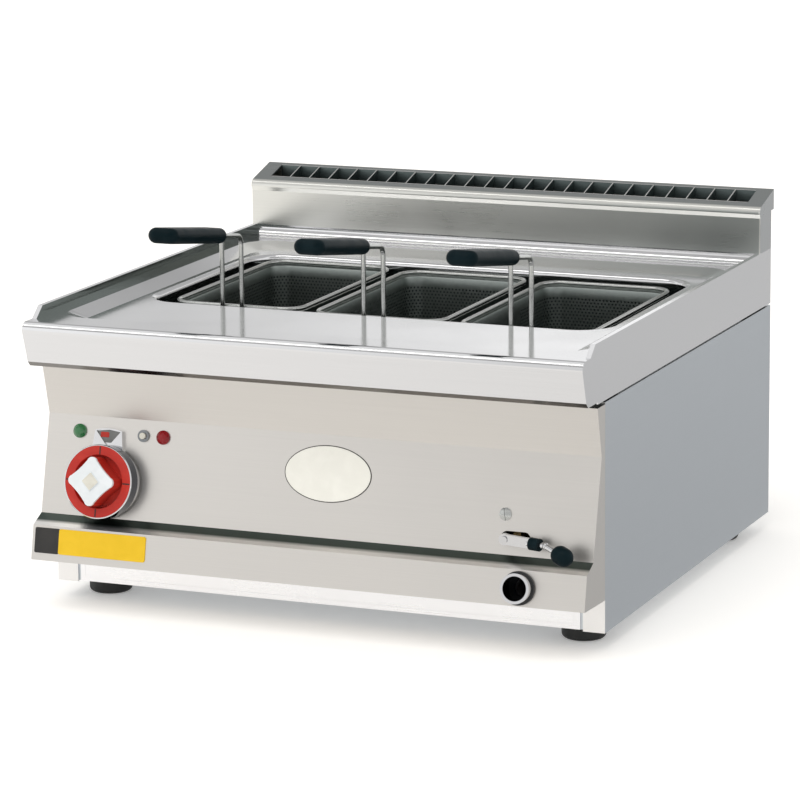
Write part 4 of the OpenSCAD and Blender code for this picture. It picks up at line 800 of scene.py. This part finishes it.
# %% [markdown]
# The oval plate on the slope is white enamel inside a thin dark line, and the plate on the lip is
# yellow with a dark end. Both are left bare here.

# %% Oval plate and badge plate
OVAL_SPOT, OVAL_W, OVAL_H, OVAL_LINE = (14.5, 38.7), 94.0, 57.0, 0.8
BADGE_DOWN, BADGE_H, BADGE_R, BADGE_T, BADGE_BEVEL = 15.3, 26.0, 1.5, 1.0, 0.3
BADGE_X, BADGE_W, DARK_X, DARK_W = -221.0, 98.0, -283.2, 27.5

plate_on("oval_edge", SLOPE, OVAL_SPOT, ellipse(OVAL_W, OVAL_H), 0.6, 0.2, print_dark)
plate_on("oval_plate", SLOPE, OVAL_SPOT, ellipse(OVAL_W - 2 * OVAL_LINE, OVAL_H - 2 * OVAL_LINE),
         0.75, 0.2, enamel_white)
plate_on("badge_plate", LIP, (BADGE_X, BADGE_DOWN), bar(BADGE_W, BADGE_H, BADGE_R, 96), BADGE_T,
         BADGE_BEVEL, badge_yellow)
plate_on("badge_end", LIP, (DARK_X, BADGE_DOWN), bar(DARK_W, BADGE_H, BADGE_R, 96), BADGE_T,
         BADGE_BEVEL, print_dark)

# %% [markdown]
# The dial's face has a dark tick at each of its four positions, and the fixed tab above it carries
# a small red mark on a grey field that they are set against. The ticks turn with the knob, and so
# does the ivory pad on its cap. The mark stays.

# %% Ticks, index mark and pad
KNOB_SPOT = (-229.0, 66.0)
TICK_W, TICK_L, TICK_OUT = 1.3, 8.2, 31.8
PAD_SIDE, PAD_Z = 13.0, 38.0
FIELD_T, FIELD_Z, FIELD_UP = 0.35, 2.5, 45.0
MARK_W, MARK_H, MARK_SPOT = 9.6, 5.4, (-4.4, 48.0)
PRINT_BEVEL = 0.1

for k in range(4):
    plate_on(f"dial_tick_{k + 1}", SLOPE, KNOB_SPOT, bar(TICK_W, TICK_L, 0.5, 40), 0.25,
             PRINT_BEVEL, print_dark, "selector_knob", DIAL_Z, (0.0, TICK_OUT),
             k * np.pi / 2)
plate_on("index_mark", SLOPE, KNOB_SPOT, bar(MARK_W, MARK_H, 1.2), 0.3, PRINT_BEVEL, dial_red,
         lift=FIELD_Z + FIELD_T, offset=MARK_SPOT)
field = np.array([[-5.6, 40.0], [5.6, 40.0], [13.2, 51.4], [0.0, 53.2], [-13.2, 51.4]])
plate_on("index_field", SLOPE, KNOB_SPOT, field - [0.0, FIELD_UP], FIELD_T, PRINT_BEVEL,
         field_grey, lift=FIELD_Z, offset=(0.0, FIELD_UP))
plate_on("knob_pad", SLOPE, KNOB_SPOT, bar(PAD_SIDE, PAD_SIDE, 0.8), 0.3, PRINT_BEVEL,
         button_ivory, "selector_knob", PAD_Z, turn=np.pi / 4)

# %% [markdown]
# ## Slotted screws
# One slotted screw holds the tap's bracket behind the panel, and six hold the rear panel to the
# side panels. A screw head is a low dome with a slot across it. Lines of the grid run along the
# slot, so its walls are exact: a point is (x, v times the half chord at x), and the dome drops by
# the slot's depth between the two slot lines.

# %% Screw heads
SLOT_WALL = 0.01
TAP_SCREW_SPOT, TAP_SCREW_LEAN = (205.7, 63.0), math.radians(12)
REAR_FACE, REAR_X, REAR_Z = 536.0, (-292.0, 292.0), (30.0, 120.0, 210.0)


def screw_head(radius, rise, slot_width, slot_depth):
    """Closed dome with a slot: height rise (1 - 0.6 r^2) over x and v, less the slot's depth."""
    half = slot_width / 2
    outer = np.linspace(half, radius, 9)
    x = np.concatenate([-outer[::-1], [SLOT_WALL - half, 0.0, half - SLOT_WALL], outer])
    v = np.linspace(-1, 1, 17)
    chord = np.sqrt(np.maximum(radius ** 2 - x ** 2, 0.0))
    y = v[None] * chord[:, None]
    far = (x[:, None] ** 2 + y ** 2) / radius ** 2
    in_slot = np.abs(x[:, None]) < half - SLOT_WALL / 2
    z = rise * (1 - 0.6 * far) - slot_depth * in_slot
    top = np.stack([np.repeat(x[:, None], len(v), 1), y, z], 2)
    low = top.copy()
    low[..., 2] = 0.0
    columns = np.concatenate([low[:, :1], top, low[:, -1:]], 1)
    return columns.reshape(-1, 3), [grid_faces(len(x), len(v) + 2)[:, ::-1]]


points, tables = screw_head(6.5, 2.2, 1.6, 1.0)
surface("tap_screw", on_face(SLOPE, TAP_SCREW_SPOT, turned(points, TAP_SCREW_LEAN)), tables,
        wire_steel, "cabinet")
points, tables = screw_head(4.5, 1.8, 1.2, 0.9)
for k, (x, z) in enumerate([(x, z) for x in REAR_X for z in REAR_Z]):
    placed = np.column_stack([x - points[:, 0], REAR_FACE + points[:, 2], z + points[:, 1]])
    surface(f"rear_screw_{k + 1}", placed, tables, hidden_steel, "cabinet")

# %% [markdown]
# ## Light and floor
# Metal shows what stands around it, so the room is a plain white one: a white world for the camera
# and for reflections, and a quieter one for diffuse light.

# %% White room
GLOSSY_WHITE, FILL_LEVEL, FILL_COLOUR = 0.88, 0.78, (0.985, 0.985, 0.98, 1.0)
WHITE = (1.0, 1.0, 1.0, 1.0)

scene.view_settings.view_transform = "Standard"
world = bpy.data.worlds.new("white_room")
scene.world = world
world.use_nodes = True
room = world.node_tree
room.nodes.clear()
ray = room.nodes.new("ShaderNodeLightPath").outputs
seen = maths(room, "MAXIMUM", ray["Is Camera Ray"], ray["Is Glossy Ray"])
seen = maths(room, "MAXIMUM", seen, ray["Is Transmission Ray"])
shown = room.nodes.new("ShaderNodeBackground")
shown.inputs["Color"].default_value = WHITE
room.links.new(remapped(room, ray["Is Glossy Ray"], wanted=(1.0, GLOSSY_WHITE)),
               shown.inputs["Strength"])
fill = room.nodes.new("ShaderNodeBackground")
fill.inputs["Color"].default_value = FILL_COLOUR
fill.inputs["Strength"].default_value = FILL_LEVEL
either = room.nodes.new("ShaderNodeMixShader")
room_out = room.nodes.new("ShaderNodeOutputWorld")
for socket, place in zip((seen, fill.outputs[0], shown.outputs[0]), either.inputs):
    room.links.new(socket, place)
room.links.new(either.outputs[0], room_out.inputs["Surface"])
print("world:", world.name, "with", len(room.nodes), "nodes")

# %% [markdown]
# The floor is a plain pale plane a hair below the feet. It glows a little for the camera, so that
# it turns white away from the object and keeps the object's shadow.

# %% Floor
FLOOR_HALF, FLOOR_DROP = 30, 0.0004
FLOOR_COLOUR, FLOOR_GLOW, GLOSSY_SHARE = (0.95, 0.93, 0.90, 1.0), 0.24, 0.9

paint, tree, shader = blank("floor_paint")
shader.inputs["Base Color"].default_value = FLOOR_COLOUR
shader.inputs["Roughness"].default_value = 0.9
shader.inputs["Specular IOR Level"].default_value = 0.1
shader.inputs["Emission Color"].default_value = WHITE
ray = tree.nodes.new("ShaderNodeLightPath").outputs
seen = maths(tree, "MULTIPLY_ADD", ray["Is Glossy Ray"], GLOSSY_SHARE, ray["Is Camera Ray"])
tree.links.new(maths(tree, "MULTIPLY", seen, FLOOR_GLOW), shader.inputs["Emission Strength"])


def stage_sheet(name, corners, paint):
    """Four-cornered sheet that belongs to the studio and not to the object."""
    mesh = bpy.data.meshes.new(name)
    mesh.from_pydata(corners, [], [(0, 1, 2, 3)])
    mesh.materials.append(paint)
    sheet = bpy.data.objects.new(name, mesh)
    scene.collection.objects.link(sheet)
    return sheet


floor = stage_sheet("floor", [(x * FLOOR_HALF, y * FLOOR_HALF, -FLOOR_DROP) for x, y in
                              ((-1, -1), (1, -1), (1, 1), (-1, 1))], paint)
print("floor:", 2 * FLOOR_HALF, "m wide")

# %% [markdown]
# A photographer shapes the shine of metal with cards just outside the picture. Here the cards glow
# for reflections only: one behind and one in front for the deck and the splashback, one on the
# floor before the panel, a quiet one on the floor at the right for the side, and one overhead.

# %% Reflection cards
CARD_TOP_LEVEL = 0.45


def studio_card(name, corners, glow, axis, span, top=None, tint=(1.0, 1.0, 1.0)):
    """Card that only reflections see. Its glow runs between two levels along one axis and between
    two places, and above the top's two heights it fades to less than half of that."""
    paint, tree, shader = blank(name)
    place = object_place(tree)
    level = remapped(tree, one_axis(tree, place, axis), given=span, wanted=glow)
    if top:
        dark = remapped(tree, one_axis(tree, place, "Z"), given=top, wanted=(1.0, CARD_TOP_LEVEL))
        level = maths(tree, "MULTIPLY", level, dark)
    tree.links.new(level, shader.inputs["Emission Strength"])
    shader.inputs["Emission Color"].default_value = (*tint, 1.0)
    shader.inputs["Base Color"].default_value = (0.0, 0.0, 0.0, 1.0)
    shader.inputs["Specular IOR Level"].default_value = 0.0
    card = stage_sheet(name, corners, paint)
    card.visible_camera = card.visible_diffuse = card.visible_shadow = False


def upright_card(x0, x1, y, z0, z1):
    """Corners of a card that stands across the picture."""
    return [(x0, y, z0), (x1, y, z0), (x1, y, z1), (x0, y, z1)]


def lying_card(x0, x1, y0, y1, z):
    """Corners of a card that lies level."""
    return [(x0, y0, z), (x1, y0, z), (x1, y1, z), (x0, y1, z)]


studio_card("back_card", upright_card(-4.0, 2.5, 1.6, 0.30, 3.0), (0.68, 1.10), "X",
            (-1.05, -0.35), top=(0.70, 1.0))
studio_card("front_card", upright_card(-4.0, 2.5, -1.6, 0.3, 4.0), (1.04, 0.74), "X",
            (-0.95, -0.15), top=(1.2, 1.6))
studio_card("front_floor", lying_card(-3.0, 2.0, -2.4, -0.42, 0.001), (1.00, 0.88), "X",
            (-0.55, 0.15), tint=(1.0, 0.98, 0.95))
studio_card("right_card", lying_card(0.31, 2.5, -0.6, 4.5, 0.001), (0.53, 0.58), "Y", (0.0, 1.2))
studio_card("overhead", lying_card(-1.5, 1.0, 0.05, 1.2, 0.9)[::-1], (0.48, 0.48), "X",
            (-1.0, 1.0))

# %% [markdown]
# A wide soft sun from the upper left draws the shadow.

# %% Sun
SUN_ENERGY, SUN_ANGLE, SUN_COLOUR = 1.05, math.radians(50), (1.0, 0.985, 0.96)
SUN_TURN = (math.radians(30), math.radians(-10), 0.0)

sun = bpy.data.lights.new("soft_sun", "SUN")
sun.energy, sun.angle, sun.color = SUN_ENERGY, SUN_ANGLE, SUN_COLOUR
sun_lamp = bpy.data.objects.new("soft_sun", sun)
scene.collection.objects.link(sun_lamp)
sun_lamp.rotation_euler = SUN_TURN
print("sun set at", [round(math.degrees(a)) for a in SUN_TURN], "degrees")
